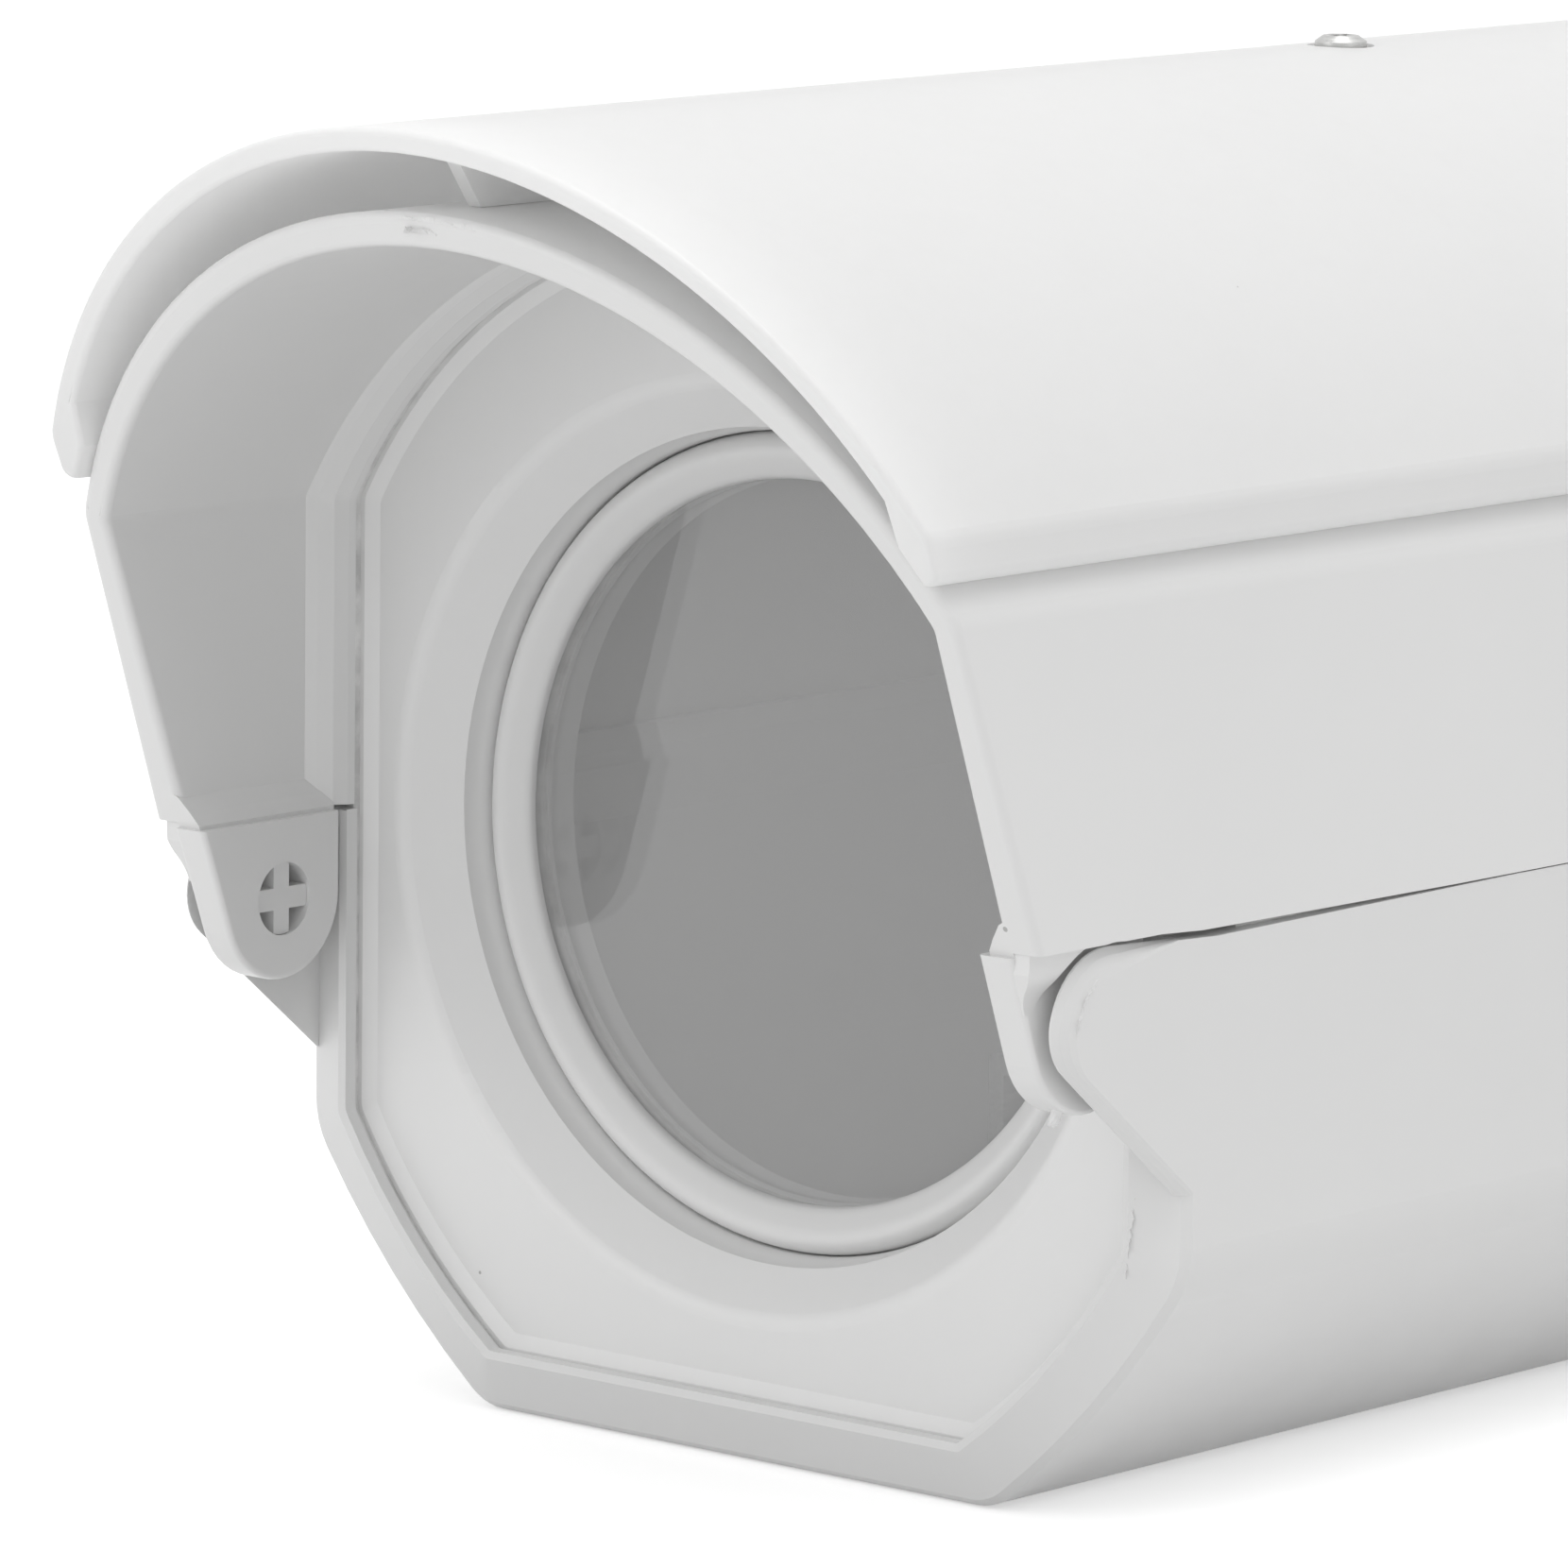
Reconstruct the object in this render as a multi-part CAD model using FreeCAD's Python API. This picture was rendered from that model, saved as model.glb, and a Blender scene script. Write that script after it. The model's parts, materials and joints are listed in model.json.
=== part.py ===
import FreeCAD, Part
import cmath
import math
import os
from FreeCAD import Vector

# Outdoor camera housing, sizes in millimetres.
# X runs across the housing, Y along it with the window facing -Y, Z up.
# The origin is midway between the two bracket threads, in the plane of the underside.

# Length
GLASS_Y = -130.0            # front face of the window glass
REAR_Y = 140.0              # outer face of the rear walls
REAR_SHAPE = ((1.6, 0.0), (0.5, 0.4), (0.0, 1.4))  # rounded rear edge, ahead of the wall and inset

# Lower shell section
BASE_HALF = 57.0            # half width at the split line
SLANT_IN = 23.6             # how far the slanted sides reach in
FLAT_HALF = BASE_HALF - SLANT_IN
CHAMFER_Z = 25.8            # height at which the sides turn in
CHAMFER_BULGE = 1.5         # how far the slanted sides bow out
BASE_WALL = 3.0
SIDE_SOFT = 3.0             # reach of the rounding where the side turns in
BOTTOM_SOFT = 2.3           # reach of the rounding at the underside
SPLIT_Z = 59.0              # top edge of the lower shell
EDGE_DIP = 0.5              # how far that edge dips at the plate
DIP_END = GLASS_Y + 40.0    # where the dip of the lower shell's edge runs out
LID_DIP_END = GLASS_Y + 30.0
FLANGE_IN = 6.0             # width of the flange along the split line
FLANGE_DEEP = 6.0
FLANGE_LIP = 2.4            # height of its upright inner face
FLANGE_LEAN = 2.2           # how far that face leans out below
TONGUE_T = 1.5              # upstand that laps inside the upper shell
TONGUE_H = 4.0

# Upper shell section
LID_HALF = BASE_HALF + 0.1  # half width at the split line
KINK_HALF = LID_HALF - 1.1  # half width where the arch begins
ARCH_R = KINK_HALF + 7.0
ARCH_Z = SPLIT_Z + 4.0      # height of the arch's centre
KINK_SOFT = 0.9             # reach of the rounding where side and arch meet
LID_WALL = 3.1
INNER_HALF = KINK_HALF - LID_WALL
INNER_R = INNER_HALF + 7.2
INNER_Z = ARCH_Z - 0.5
LID_GAP = 0.15              # gap along the split line
VISOR_LIFT = 0.7            # visor's lower edge above the split line
RAKE = 0.364                # how far the visor leans forward for each unit of height
VISOR_REACH = 33.2          # visor edge ahead of the glass at the window's height
VISOR_LIP_R = 0.9

# Window, measured from the glass's front face and the window's axis
AXIS_Z = SPLIT_Z + 1.0
VIEW_R = 36.0               # clear radius
GLASS_R = VIEW_R + 4.0
GLASS_T = 2.8
GASKET_T = 0.8
RING_R = GLASS_R + 0.8
RING_FIT = 0.1
RING_CREST = 2.6            # crest of the retaining ring ahead of the glass
RING_LIP = 0.9              # its inner edge ahead of the glass
RING_ROLL = 1.4             # width of its rounded outer edge
RING_SUNK = 0.5             # where that edge ends ahead of the glass
SEAT_T = 3.3
BOSS_T = 2.8
FUNNEL_R = RING_R + 5.4     # corner between the plate's face and the funnel
FUNNEL_SOFT = 1.0           # reach of that corner's rounding
FUNNEL_MID_R = RING_R + 0.7
FUNNEL_MID_Y = 4.7
FUNNEL_END_Y = 1.2
FACE_Y = 9.0                # plate's face ahead of the glass
PLATE_T = 3.0
BORDER_H = 0.8              # raised border of the plate
BORDER_W = 1.4
PLATE_HALF = BASE_HALF - 4.7
PLATE_FIT = 0.15
SEAL_T = 0.9
SEAL_W = 1.2

# Rim round the plate
OPEN_IN = 6.4               # rim's width
OPEN_HALF = BASE_HALF - OPEN_IN
RIM_OUTER_Y = 10.5          # rim's outer edge ahead of the glass
RIM_NOSE = 1.9              # depth of the rim's inner wall
RIB_T = 2.5                 # rib behind the plate
RIM_SHAPE = ((-0.9, 0.0), (0.0, 0.7), (1.95, 5.6), (1.7, OPEN_IN))  # ahead of the edge, inset
BEAD_SHAPE = ((16.1, 3.6), (16.0, 4.1), (15.0, 4.9), (13.6, 5.8), (12.0, 6.3), (10.9, 6.3))
BEAD_END = 11.0             # rear of the upper shell's bead ahead of the glass

# Hinge
PIVOT_Y = GLASS_Y - 21.9
PIVOT_Z = SPLIT_Z - 7.85
PIN_R = 3.64
PIN_FIT = 0.06
HOLE_R = PIN_R + PIN_FIT
PIN_ARM = 2.2
EAR_IN = INNER_HALF - 2.9
EAR_OUT = BASE_HALF - 3.0
PIN_END = EAR_IN + 0.4
EAR_R = 8.2
EAR_TOP = SPLIT_Z + 0.2
EAR_PROUD = 0.65            # ear's front ahead of the visor's edge
EAR_EDGE_R = 0.6
EAR_BEVEL = 1.0             # step between the ear's inner face and the bevel above it
SHOULDER_PROUD = 0.5        # shoulder's front ahead of the visor's edge
ROOT_DROP = 6.1             # length of the shoulder's slope below the visor's edge
CHEEK_T = 1.3
CHEEK_IN = BASE_HALF - CHEEK_T
CHEEK_EDGE = ((1.0, 0.0, 0.0), (0.85, 0.06, 0.03), (0.45, 0.75, 0.35), (0.12, 1.7, 0.75),
              (0.0, 2.6, 1.1))  # share of the thickness, with the insets of nose and slope
NOSE_R = 8.1                # cheek's round nose about the hinge's axis
NOSE_CLEAR = NOSE_R + 0.55  # radius that the upper shell keeps clear
NOSE_END = 165.0            # angle at which the nose starts to turn into the slope
SLOPE_TILT = 39.1           # how far the cheek's slope leans below the horizontal
SLOPE_FROM = 6.43           # distance of the slope's line from the hinge's axis
CHEEK_FOOT_Z = PIVOT_Z - 17.15
CHEEK_ROOT = 4.5            # how far the cheek reaches into the shell behind the rim's edge

# Sunshield
SHIELD_HALF = KINK_HALF + 0.3   # half width at its crease
SHIELD_R = SHIELD_HALF + 7.0
SHIELD_Z = ARCH_Z + 7.85    # height of the sunshield's arc centre
SHIELD_T = 2.3
SHIELD_LIP_R = 0.6
SHIELD_FOOT_T = 2.0         # width of its foot's flat underside
SHIELD_HEEL_T = 4.2         # width of its thick foot
SHIELD_HEEL_H = 3.5
SHIELD_CREASE_R = 3.0
SHIELD_FOOT_R = 1.4
SHIELD_SEAT = 0.2           # gap between the sunshield's foot and the upper shell
SHIELD_AHEAD = 1.2          # sunshield's edge ahead of the visor's edge
SHIELD_END = 8.0            # its rear end ahead of the rear wall
SHIELD_RIB_T = 1.6
SHIELD_RIB_Y = -48.7        # front foot of the spacer rib behind the glass
FRONT_SCREW_IN = 83.0       # crest screw behind the glass
REAR_SCREW_IN = 47.0        # crest screw ahead of the rear wall
CREST_BOSS_R = 5.0
CREST_BOSS_H = 4.0          # how far the crest bosses hang inside
SCREW_R = 1.6
SCREW_HEAD_R = 2.7
SCREW_HEAD_H = 1.5
SCREW_WASHER_T = 0.4
DIMPLE_R = 3.5
DIMPLE_DEEP = 0.9

# Closing screws at the rear
LUG_X = BASE_HALF - 15.0
LUG_R = 7.0
LUG_OUT = 6.0
LUG_LOW = 14.0
LUG_HIGH = 8.0
CLOSE_HOLE_R = 2.75
CLOSE_CORE_R = 2.1
CLOSE_BITE = 7.0
CLOSE_HEAD_R = 5.0
CLOSE_HEAD_H = 5.0
INSERT_R = 3.4
INSERT_BORE = 2.5
INSERT_L = 9.0
WASHER_T = 1.0

# Bracket threads in the underside
BRACKET_YS = (-35.0, 35.0)
BRACKET_R = 4.2
BRACKET_BORE = 2.55
BRACKET_L = 8.0
BRACKET_BOSS_R = 7.0
BRACKET_BOSS_H = 9.5

# Camera tray, a bent sheet on two rails
TRAY_T = 2.0
TRAY_HALF = 25.0
TRAY_FOOT = 31.0
TRAY_FOOT_Z = 6.0
TRAY_TOP_Z = 28.0
TRAY_FRONT = -70.0
TRAY_REAR = 80.0
TRAY_FIT = 0.1
RAIL_T = 2.0
RAIL_LIP = 2.7
SLOT_HALF = 3.4
CAMERA_SLOT = (-58.0, 20.0)
CAMERA_Y = -20.0
LOCK_Y = 55.0
LOCK_TRAVEL = 18.0
LOCK_R = 2.4
LOCK_BOSS_R = 6.0
KNOB_R = 8.0
KNOB_H = 9.0
STUD_R = 3.1
STUD_TIP_Z = 36.0

# Cable glands in the rear wall
GLAND_X = 22.0
GLAND_Z = 24.0
GLAND_R = 7.9
GLAND_FIT = 0.2
GLAND_BORE = 5.2
CABLE_R = 3.2
GLAND_FLANGE_R = 11.0
GLAND_FLANGE_T = 5.0
GLAND_NECK_R = 8.4
GLAND_NECK_L = 9.0
GLAND_TAIL = 8.0
GLAND_CAP_L = 16.0
GLAND_CAP_R = 11.4
GLAND_RING_T = 1.2
LOCKNUT_T = 4.5
LOCKNUT_R = 10.5

# Rubber strip in the flange
STRIP_W = 2.0
STRIP_T = 1.5
STRIP_IN = 1.6              # strip's outer side from the shell's outer face

FAR = 400.0

# Sizes that follow from the ones above
FACE = GLASS_Y - FACE_Y
BORDER = FACE - BORDER_H
RIM_BACK = BORDER - SEAL_T
RIM_FRONT = RIM_BACK - RIM_NOSE
RIM_EDGE = GLASS_Y - RIM_OUTER_Y
PLATE_BACK = FACE + PLATE_T
RIB_FRONT = PLATE_BACK + 0.1
RIB_BACK = RIB_FRONT + RIB_T
LID_Z = SPLIT_Z + LID_GAP
CROWN_Z = ARCH_Z + ARCH_R
SHIELD_FOOT_IN = SHIELD_HALF - SHIELD_FOOT_T    # inner edge of the sunshield's foot
SHIELD_FOOT_Z = ARCH_Z + math.sqrt(ARCH_R ** 2 - (SHIELD_FOOT_IN - SHIELD_SEAT) ** 2)
SCREW_YS = (GLASS_Y + FRONT_SCREW_IN, REAR_Y - REAR_SCREW_IN)
CEILING_Z = INNER_Z + INNER_R
FACE_TOP = SPLIT_Z - EDGE_DIP
LIFT_Z = SPLIT_Z + VISOR_LIFT
SHELL_TOP = ((PIVOT_Y, PIVOT_Z + NOSE_R), (RIM_FRONT, FACE_TOP + 0.3), (FACE, FACE_TOP),
             (DIP_END, SPLIT_Z))
LID_FOOT = ((FACE - 6.0, LIFT_Z), (FACE, LID_Z + 0.2), (LID_DIP_END, LID_Z))
LOCK_BOSS_TOP = TRAY_TOP_Z - TRAY_T - TRAY_FIT


def path(points, place):
    """A closed wire through flat points, where a triple is the middle of an arc."""
    edges = []
    here = points[0]
    middle = None
    for item in points[1:]:
        if len(item) == 3:
            middle = item
            continue
        if middle:
            edges.append(Part.Arc(place(*here), place(*middle[:2]), place(*item)).toShape())
        else:
            edges.append(Part.makeLine(place(*here), place(*item)))
        here = item
        middle = None
    return Part.Wire(edges)


def wire_y(points, y):
    """A wire of (x, z) points in the plane at y."""
    return path(points, lambda x, z: Vector(x, y, z))


def prism_y(points, y0, y1):
    """A solid along Y with the given section."""
    return Part.Face(wire_y(points, y0)).extrude(Vector(0, y1 - y0, 0))


def loft_y(stations):
    """A solid that runs straight between sections, given as (y, points)."""
    return Part.makeLoft([wire_y(points, y) for y, points in stations], True, True)


def prism_x(points, x0, x1):
    """A solid along X from (y, z) points."""
    flat = Part.Face(path(points, lambda y, z: Vector(x0, y, z)))
    return flat.extrude(Vector(x1 - x0, 0, 0))


def turned(points):
    """A body turned about the window's axis from (radius, y) points."""
    flat = Part.Face(path(points, lambda radius, y: Vector(radius, y, AXIS_Z)))
    return flat.revolve(Vector(0, 0, AXIS_Z), Vector(0, 1, 0), 360)


def box(x0, x1, y0, y1, z0, z1):
    return Part.makeBox(x1 - x0, y1 - y0, z1 - z0, Vector(x0, y0, z0))


def rectangle(half, y0, y1, z):
    """A level rectangle across the housing."""
    return Part.makePolygon([Vector(-half, y0, z), Vector(half, y0, z), Vector(half, y1, z),
                             Vector(-half, y1, z), Vector(-half, y0, z)])


def rod_z(x, y, z0, z1, radius):
    return Part.makeCylinder(radius, z1 - z0, Vector(x, y, z0))


def rod_y(x, z, y0, y1, radius):
    return Part.makeCylinder(radius, y1 - y0, Vector(x, y0, z), Vector(0, 1, 0))


def rod_x(y, z, x0, x1, radius):
    return Part.makeCylinder(radius, x1 - x0, Vector(x0, y, z), Vector(1, 0, 0))


def mirrored(shape):
    return shape.mirror(Vector(0, 0, 0), Vector(1, 0, 0))


def both_sides(shape):
    return [shape, mirrored(shape)]


def polar(angle, radius):
    """A point (y, z) at an angle from +Y about the hinge's axis."""
    turn = math.radians(angle)
    return PIVOT_Y + radius * math.cos(turn), PIVOT_Z + radius * math.sin(turn)


def trimmed_side(start, end, bow, lead, tail):
    """First, middle and last point of a side, straight or bowed, that stops short of its corners."""
    along = (end - start) / abs(end - start)
    if bow == 0:
        return start + along * lead, None, end - along * tail
    half = abs(end - start) / 2
    radius = (half * half + bow * bow) / (2 * bow)
    middle = (start + end) / 2 - 1j * along * bow
    centre = middle + 1j * along * radius
    first = centre + (start - centre) * cmath.exp(1j * lead / radius)
    last = centre + (end - centre) * cmath.exp(-1j * tail / radius)
    return first, middle, last


def arc_middle(before, corner, after):
    """Middle of the arc that touches both sides of a corner, at points equally far from it."""
    lead = (before - corner) / abs(before - corner)
    tail = (after - corner) / abs(after - corner)
    return corner + ((before + after) / 2 - corner) / (1 + abs(lead - tail) / 2)


def softened(corners):
    """Points of a closed outline with rounded corners, anticlockwise.

    A corner is (x, z, reach, bow). Its rounding takes up reach of both its sides, and the side
    that follows it bows outwards by bow.
    """
    sides = []
    for index, (x, z, reach, bow) in enumerate(corners):
        following = corners[(index + 1) % len(corners)]
        sides.append(trimmed_side(complex(x, z), complex(following[0], following[1]), bow, reach,
                                  following[2]))
    start = sides[-1][2]
    points = [(start.real, start.imag)]
    for index, (x, z, reach, bow) in enumerate(corners):
        before = sides[index - 1][2]
        first, middle, last = sides[index]
        if reach:
            nearest = arc_middle(before, complex(x, z), first)
            points += [(nearest.real, nearest.imag, 0), (first.real, first.imag)]
        if middle:
            points.append((middle.real, middle.imag, 0))
        points.append((last.real, last.imag))
    return points


def lower_corners(inset):
    """Corners of the slanted side at the right, (x, z, reach, bow), moved in by inset."""
    across = BASE_HALF - FLAT_HALF
    length = math.hypot(across, CHAMFER_Z)
    start_x = BASE_HALF - CHAMFER_Z / length * inset
    start_z = CHAMFER_Z + across / length * inset
    side_x = BASE_HALF - inset
    side_z = start_z + (side_x - start_x) * CHAMFER_Z / across
    flat_x = start_x + (inset - start_z) * across / CHAMFER_Z
    bottom_soft = max(BOTTOM_SOFT - 0.44 * inset, 0.3)
    side_soft = max(SIDE_SOFT - 0.39 * inset, 0.3)
    return (flat_x, inset, bottom_soft), (side_x, side_z, side_soft)


def lower_section(inset, top):
    """Lower section: flat bottom, bowed slants and upright sides."""
    flat, side = lower_corners(inset)
    return softened([(-side[0], top, 0, 0), (-side[0], side[1], side[2], CHAMFER_BULGE),
                     (-flat[0], flat[1], flat[2], 0), (flat[0], flat[1], flat[2], CHAMFER_BULGE),
                     (side[0], side[1], side[2], 0), (side[0], top, 0, 0)])


def arched(foot, half, radius, centre, bottom, soft):
    """Section with near-upright sides under one arch."""
    kink = centre + math.sqrt(radius * radius - half * half)
    rise = centre + radius - kink
    return softened([(foot, bottom, 0, 0), (half, kink, soft, rise), (-half, kink, soft, 0),
                     (-foot, bottom, 0, 0)])


def upper_section(bottom, inset=0.0):
    return arched(LID_HALF - inset, KINK_HALF - inset, ARCH_R - inset, ARCH_Z, bottom, KINK_SOFT)


def inner_section(bottom):
    return arched(INNER_HALF, INNER_HALF, INNER_R, INNER_Z, bottom, KINK_SOFT / 2)


def parallel_section(half, bottom):
    """Arched section that runs parallel to the plate's outline."""
    return arched(half, half, ARCH_R - KINK_HALF + half, ARCH_Z, bottom, KINK_SOFT / 2)


def window_section(half):
    """Closed outline of the window plate and of what runs parallel to it."""
    flat, side = lower_corners(BASE_HALF - half)
    radius = ARCH_R - KINK_HALF + half
    kink = ARCH_Z + math.sqrt(radius * radius - half * half)
    rise = ARCH_Z + radius - kink
    soft = KINK_SOFT / 2
    return softened([(-flat[0], flat[1], flat[2], 0), (flat[0], flat[1], flat[2], CHAMFER_BULGE),
                     (side[0], side[1], side[2], 0), (half, kink, soft, rise),
                     (-half, kink, soft, 0), (-side[0], side[1], side[2], CHAMFER_BULGE)])


def raked(ahead, z):
    """Y of the visor's leaning front at a height."""
    return GLASS_Y - VISOR_REACH - ahead - RAKE * (z - AXIS_Z)


def ring_y(inner, outer, y0, y1, z=AXIS_Z, x=0.0):
    return rod_y(x, z, y0, y1, outer).cut(rod_y(x, z, y0, y1, inner))


def hexagon_y(x, z, y0, y1, across_corners):
    points = []
    for step in range(7):
        turn = math.radians(60 * step + 30)
        points.append((x + across_corners * math.cos(turn), z + across_corners * math.sin(turn)))
    return prism_y(points, y0, y1)


def middle_of(edge):
    return edge.valueAt((edge.FirstParameter + edge.LastParameter) / 2)


def rounded(shape, radius, chosen):
    """Rounds the edges whose middle point the test picks."""
    edges = [edge for edge in shape.Edges if chosen(middle_of(edge))]
    return shape.makeFillet(radius, edges)


def bevelled_head(x, y, z0, z1, radius, bevel):
    """A screw head with a sloping edge on top."""
    side = rod_z(x, y, z0, z1 - bevel, radius)
    return side.fuse(Part.makeCone(radius, radius - bevel * 1.4, bevel, Vector(x, y, z1 - bevel)))


# Lower shell


def cheek_outline(nose_in, slope_in):
    """Side view of the hinge cheek as (y, z), with its nose and its slope moved in."""
    radius = NOSE_R - nose_in
    start = cmath.rect(radius, math.radians(NOSE_END))
    ahead = 1j * start / radius
    down = cmath.rect(1, math.radians(-SLOPE_TILT))
    nearest = -1j * down * (SLOPE_FROM - slope_in)
    reach = ((nearest - start) * down.conjugate()).imag / (ahead * down.conjugate()).imag
    corner = start + ahead * reach
    end = corner + down * reach
    foot = end + down * ((CHEEK_FOOT_Z - PIVOT_Z - end.imag) / down.imag)
    middle = arc_middle(start, corner, end)
    root_y = RIM_EDGE + CHEEK_ROOT
    top = (PIVOT_Y, PIVOT_Z + radius)
    return [top, polar((90 + NOSE_END) / 2, radius) + (0,), polar(NOSE_END, radius),
            (PIVOT_Y + middle.real, PIVOT_Z + middle.imag, 0),
            (PIVOT_Y + end.real, PIVOT_Z + end.imag), (PIVOT_Y + foot.real, CHEEK_FOOT_Z),
            (root_y, CHEEK_FOOT_Z), (root_y, FACE_TOP), SHELL_TOP[1], top]


def cheek():
    """Hinge cheek at the right, with the cross-shaped pin moulded on it."""
    wires = [path(cheek_outline(nose, slope), lambda y, z: Vector(BASE_HALF - CHEEK_T * share, y, z))
             for share, nose, slope in CHEEK_EDGE]
    plate = Part.makeLoft(wires, True, True)
    tall = box(PIN_END, CHEEK_IN + 0.5, PIVOT_Y - PIN_ARM / 2, PIVOT_Y + PIN_ARM / 2,
               PIVOT_Z - PIN_R - 1, PIVOT_Z + PIN_R + 1)
    wide = box(PIN_END, CHEEK_IN + 0.5, PIVOT_Y - PIN_R - 1, PIVOT_Y + PIN_R + 1,
               PIVOT_Z - PIN_ARM / 2, PIVOT_Z + PIN_ARM / 2)
    pin = tall.fuse(wide).common(rod_x(PIVOT_Y, PIVOT_Z, PIN_END, BASE_HALF, PIN_R))
    return plate.fuse(pin)


def flange():
    """Thick edge along the split line, with the lapping tongue and the strip's groove."""
    inner = BASE_HALF - FLANGE_IN
    rear = REAR_Y - FLANGE_IN
    low = SPLIT_Z - FLANGE_DEEP
    ring = box(-BASE_HALF + 1, BASE_HALF - 1, RIB_FRONT, REAR_Y - 1, low, SPLIT_Z)
    ring = ring.cut(box(-inner, inner, RIB_FRONT - 1, rear, 0, FAR))
    tongue = box(-inner - TONGUE_T, inner + TONGUE_T, RIB_FRONT, rear + TONGUE_T, SPLIT_Z - 1,
                 SPLIT_Z + TONGUE_H)
    tongue = tongue.cut(box(-inner, inner, RIB_FRONT - 1, rear, 0, FAR))
    lean = FLANGE_LEAN
    hollow = Part.makeLoft([rectangle(inner, RIB_FRONT - 1, rear, SPLIT_Z + TONGUE_H - FLANGE_LIP),
                            rectangle(inner + lean, RIB_FRONT - 1, rear + lean, low)], True, True)
    return ring.fuse(tongue).cut(hollow)


def strip_body(grow):
    """Rubber strip along the sides and the rear, or its groove when grown."""
    outer = BASE_HALF - STRIP_IN + grow
    inner = BASE_HALF - STRIP_IN - STRIP_W - grow
    rear_out = REAR_Y - STRIP_IN + grow
    rear_in = REAR_Y - STRIP_IN - STRIP_W - grow
    bottom = LID_Z - STRIP_T - grow
    top = LID_Z
    strip = box(-outer, outer, RIB_BACK + 1.5, rear_out, bottom, top)
    return strip.cut(box(-inner, inner, RIB_FRONT - 1, rear_in, 0, FAR))


def rails():
    """Two rails on the floor that hold the tray's feet."""
    foot = TRAY_FOOT + 2 * TRAY_FIT
    rail = box(TRAY_FOOT - RAIL_LIP, foot + RAIL_T, TRAY_FRONT - 10, TRAY_REAR + 10,
               BASE_WALL - 1, TRAY_FOOT_Z + TRAY_T + TRAY_FIT + RAIL_T)
    groove = box(0, foot, TRAY_FRONT - 11, TRAY_REAR + 11, TRAY_FOOT_Z - TRAY_FIT,
                 TRAY_FOOT_Z + TRAY_T + TRAY_FIT)
    return both_sides(rail.cut(groove))


def lug(z0, z1):
    """Screw lug on the rear wall at the right."""
    centre = REAR_Y + LUG_OUT
    return rod_z(LUG_X, centre, z0, z1, LUG_R).fuse(
        box(LUG_X - LUG_R, LUG_X + LUG_R, REAR_Y - 1, centre, z0, z1))


def lower_shell():
    body = prism_y(lower_section(0, SPLIT_Z), RIM_EDGE - RIM_SHAPE[0][0], REAR_Y - REAR_SHAPE[0][0])
    rim = loft_y([(RIM_EDGE - ahead, lower_section(inset, SPLIT_Z)) for ahead, inset in RIM_SHAPE])
    end = loft_y([(REAR_Y - ahead, lower_section(inset, SPLIT_Z)) for ahead, inset in REAR_SHAPE])
    body = body.fuse([rim, end])
    body = body.cut(prism_y(lower_section(BASE_WALL, FAR), RIB_BACK, REAR_Y - BASE_WALL))
    body = body.cut(prism_y(window_section(OPEN_HALF), RIM_FRONT - 5, RIB_BACK + 1))
    body = body.cut(prism_y(window_section(PLATE_HALF + PLATE_FIT), RIM_BACK, RIB_FRONT))
    body = body.fuse([flange()])
    body = body.cut(strip_body(0.05))
    above = [(PIVOT_Y, FAR)] + list(SHELL_TOP) + [(SHELL_TOP[-1][0], FAR), (PIVOT_Y, FAR)]
    groove_side = BASE_HALF - STRIP_IN - STRIP_W
    body = body.cut(both_sides(prism_x(above, groove_side, FAR)))
    parts = both_sides(cheek()) + rails() + both_sides(lug(SPLIT_Z - LUG_LOW, SPLIT_Z))
    for y in BRACKET_YS:
        parts.append(rod_z(0, y, 0.5, BRACKET_BOSS_H, BRACKET_BOSS_R))
    parts.append(rod_z(0, LOCK_Y, 0.5, LOCK_BOSS_TOP, LOCK_BOSS_R))
    body = body.fuse(parts)
    holes = [rod_z(0, y, -1, BRACKET_L, BRACKET_R) for y in BRACKET_YS]
    holes.append(rod_z(0, LOCK_Y, LOCK_BOSS_TOP - INSERT_L, FAR, INSERT_R))
    for x in (-LUG_X, LUG_X):
        holes.append(rod_z(x, REAR_Y + LUG_OUT, SPLIT_Z - INSERT_L, FAR, INSERT_R))
    for x in (-GLAND_X, GLAND_X):
        holes.append(rod_y(x, GLAND_Z, REAR_Y - BASE_WALL - 1, REAR_Y + 1, GLAND_R + GLAND_FIT))
    return body.cut(holes).removeSplitter()


# Window


def front_plate():
    slab = prism_y(window_section(PLATE_HALF), BORDER, PLATE_BACK)
    field = loft_y([(BORDER, window_section(OPEN_HALF)),
                    (FACE, window_section(OPEN_HALF - BORDER_W))])
    slab = slab.cut(field)
    seat_back = GLASS_Y + GLASS_T + GASKET_T + SEAT_T
    boss_r = RING_R + RING_FIT + BOSS_T
    boss = rod_y(0, AXIS_Z, FACE + 0.5, seat_back, boss_r)
    collar = Part.makeCone(boss_r + PLATE_T, boss_r, PLATE_T, Vector(0, PLATE_BACK, AXIS_Z),
                           Vector(0, 1, 0))
    bore_r = RING_R + RING_FIT
    corner = complex(FUNNEL_R, FACE)
    crease = complex(FUNNEL_MID_R, GLASS_Y - FUNNEL_MID_Y)
    start = corner + FUNNEL_SOFT
    end = corner + (crease - corner) / abs(crease - corner) * FUNNEL_SOFT
    middle = arc_middle(start, corner, end)
    hollow = turned([(0, FACE - 1), (start.real, FACE - 1), (start.real, FACE),
                     (middle.real, middle.imag, 0), (end.real, end.imag),
                     (crease.real, crease.imag), (bore_r, GLASS_Y - FUNNEL_END_Y),
                     (bore_r, GLASS_Y + GLASS_T + GASKET_T), (VIEW_R, GLASS_Y + GLASS_T + GASKET_T),
                     (VIEW_R, seat_back + 1), (0, seat_back + 1), (0, FACE - 1)])
    return slab.fuse([boss, collar]).cut(hollow).removeSplitter()


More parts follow.
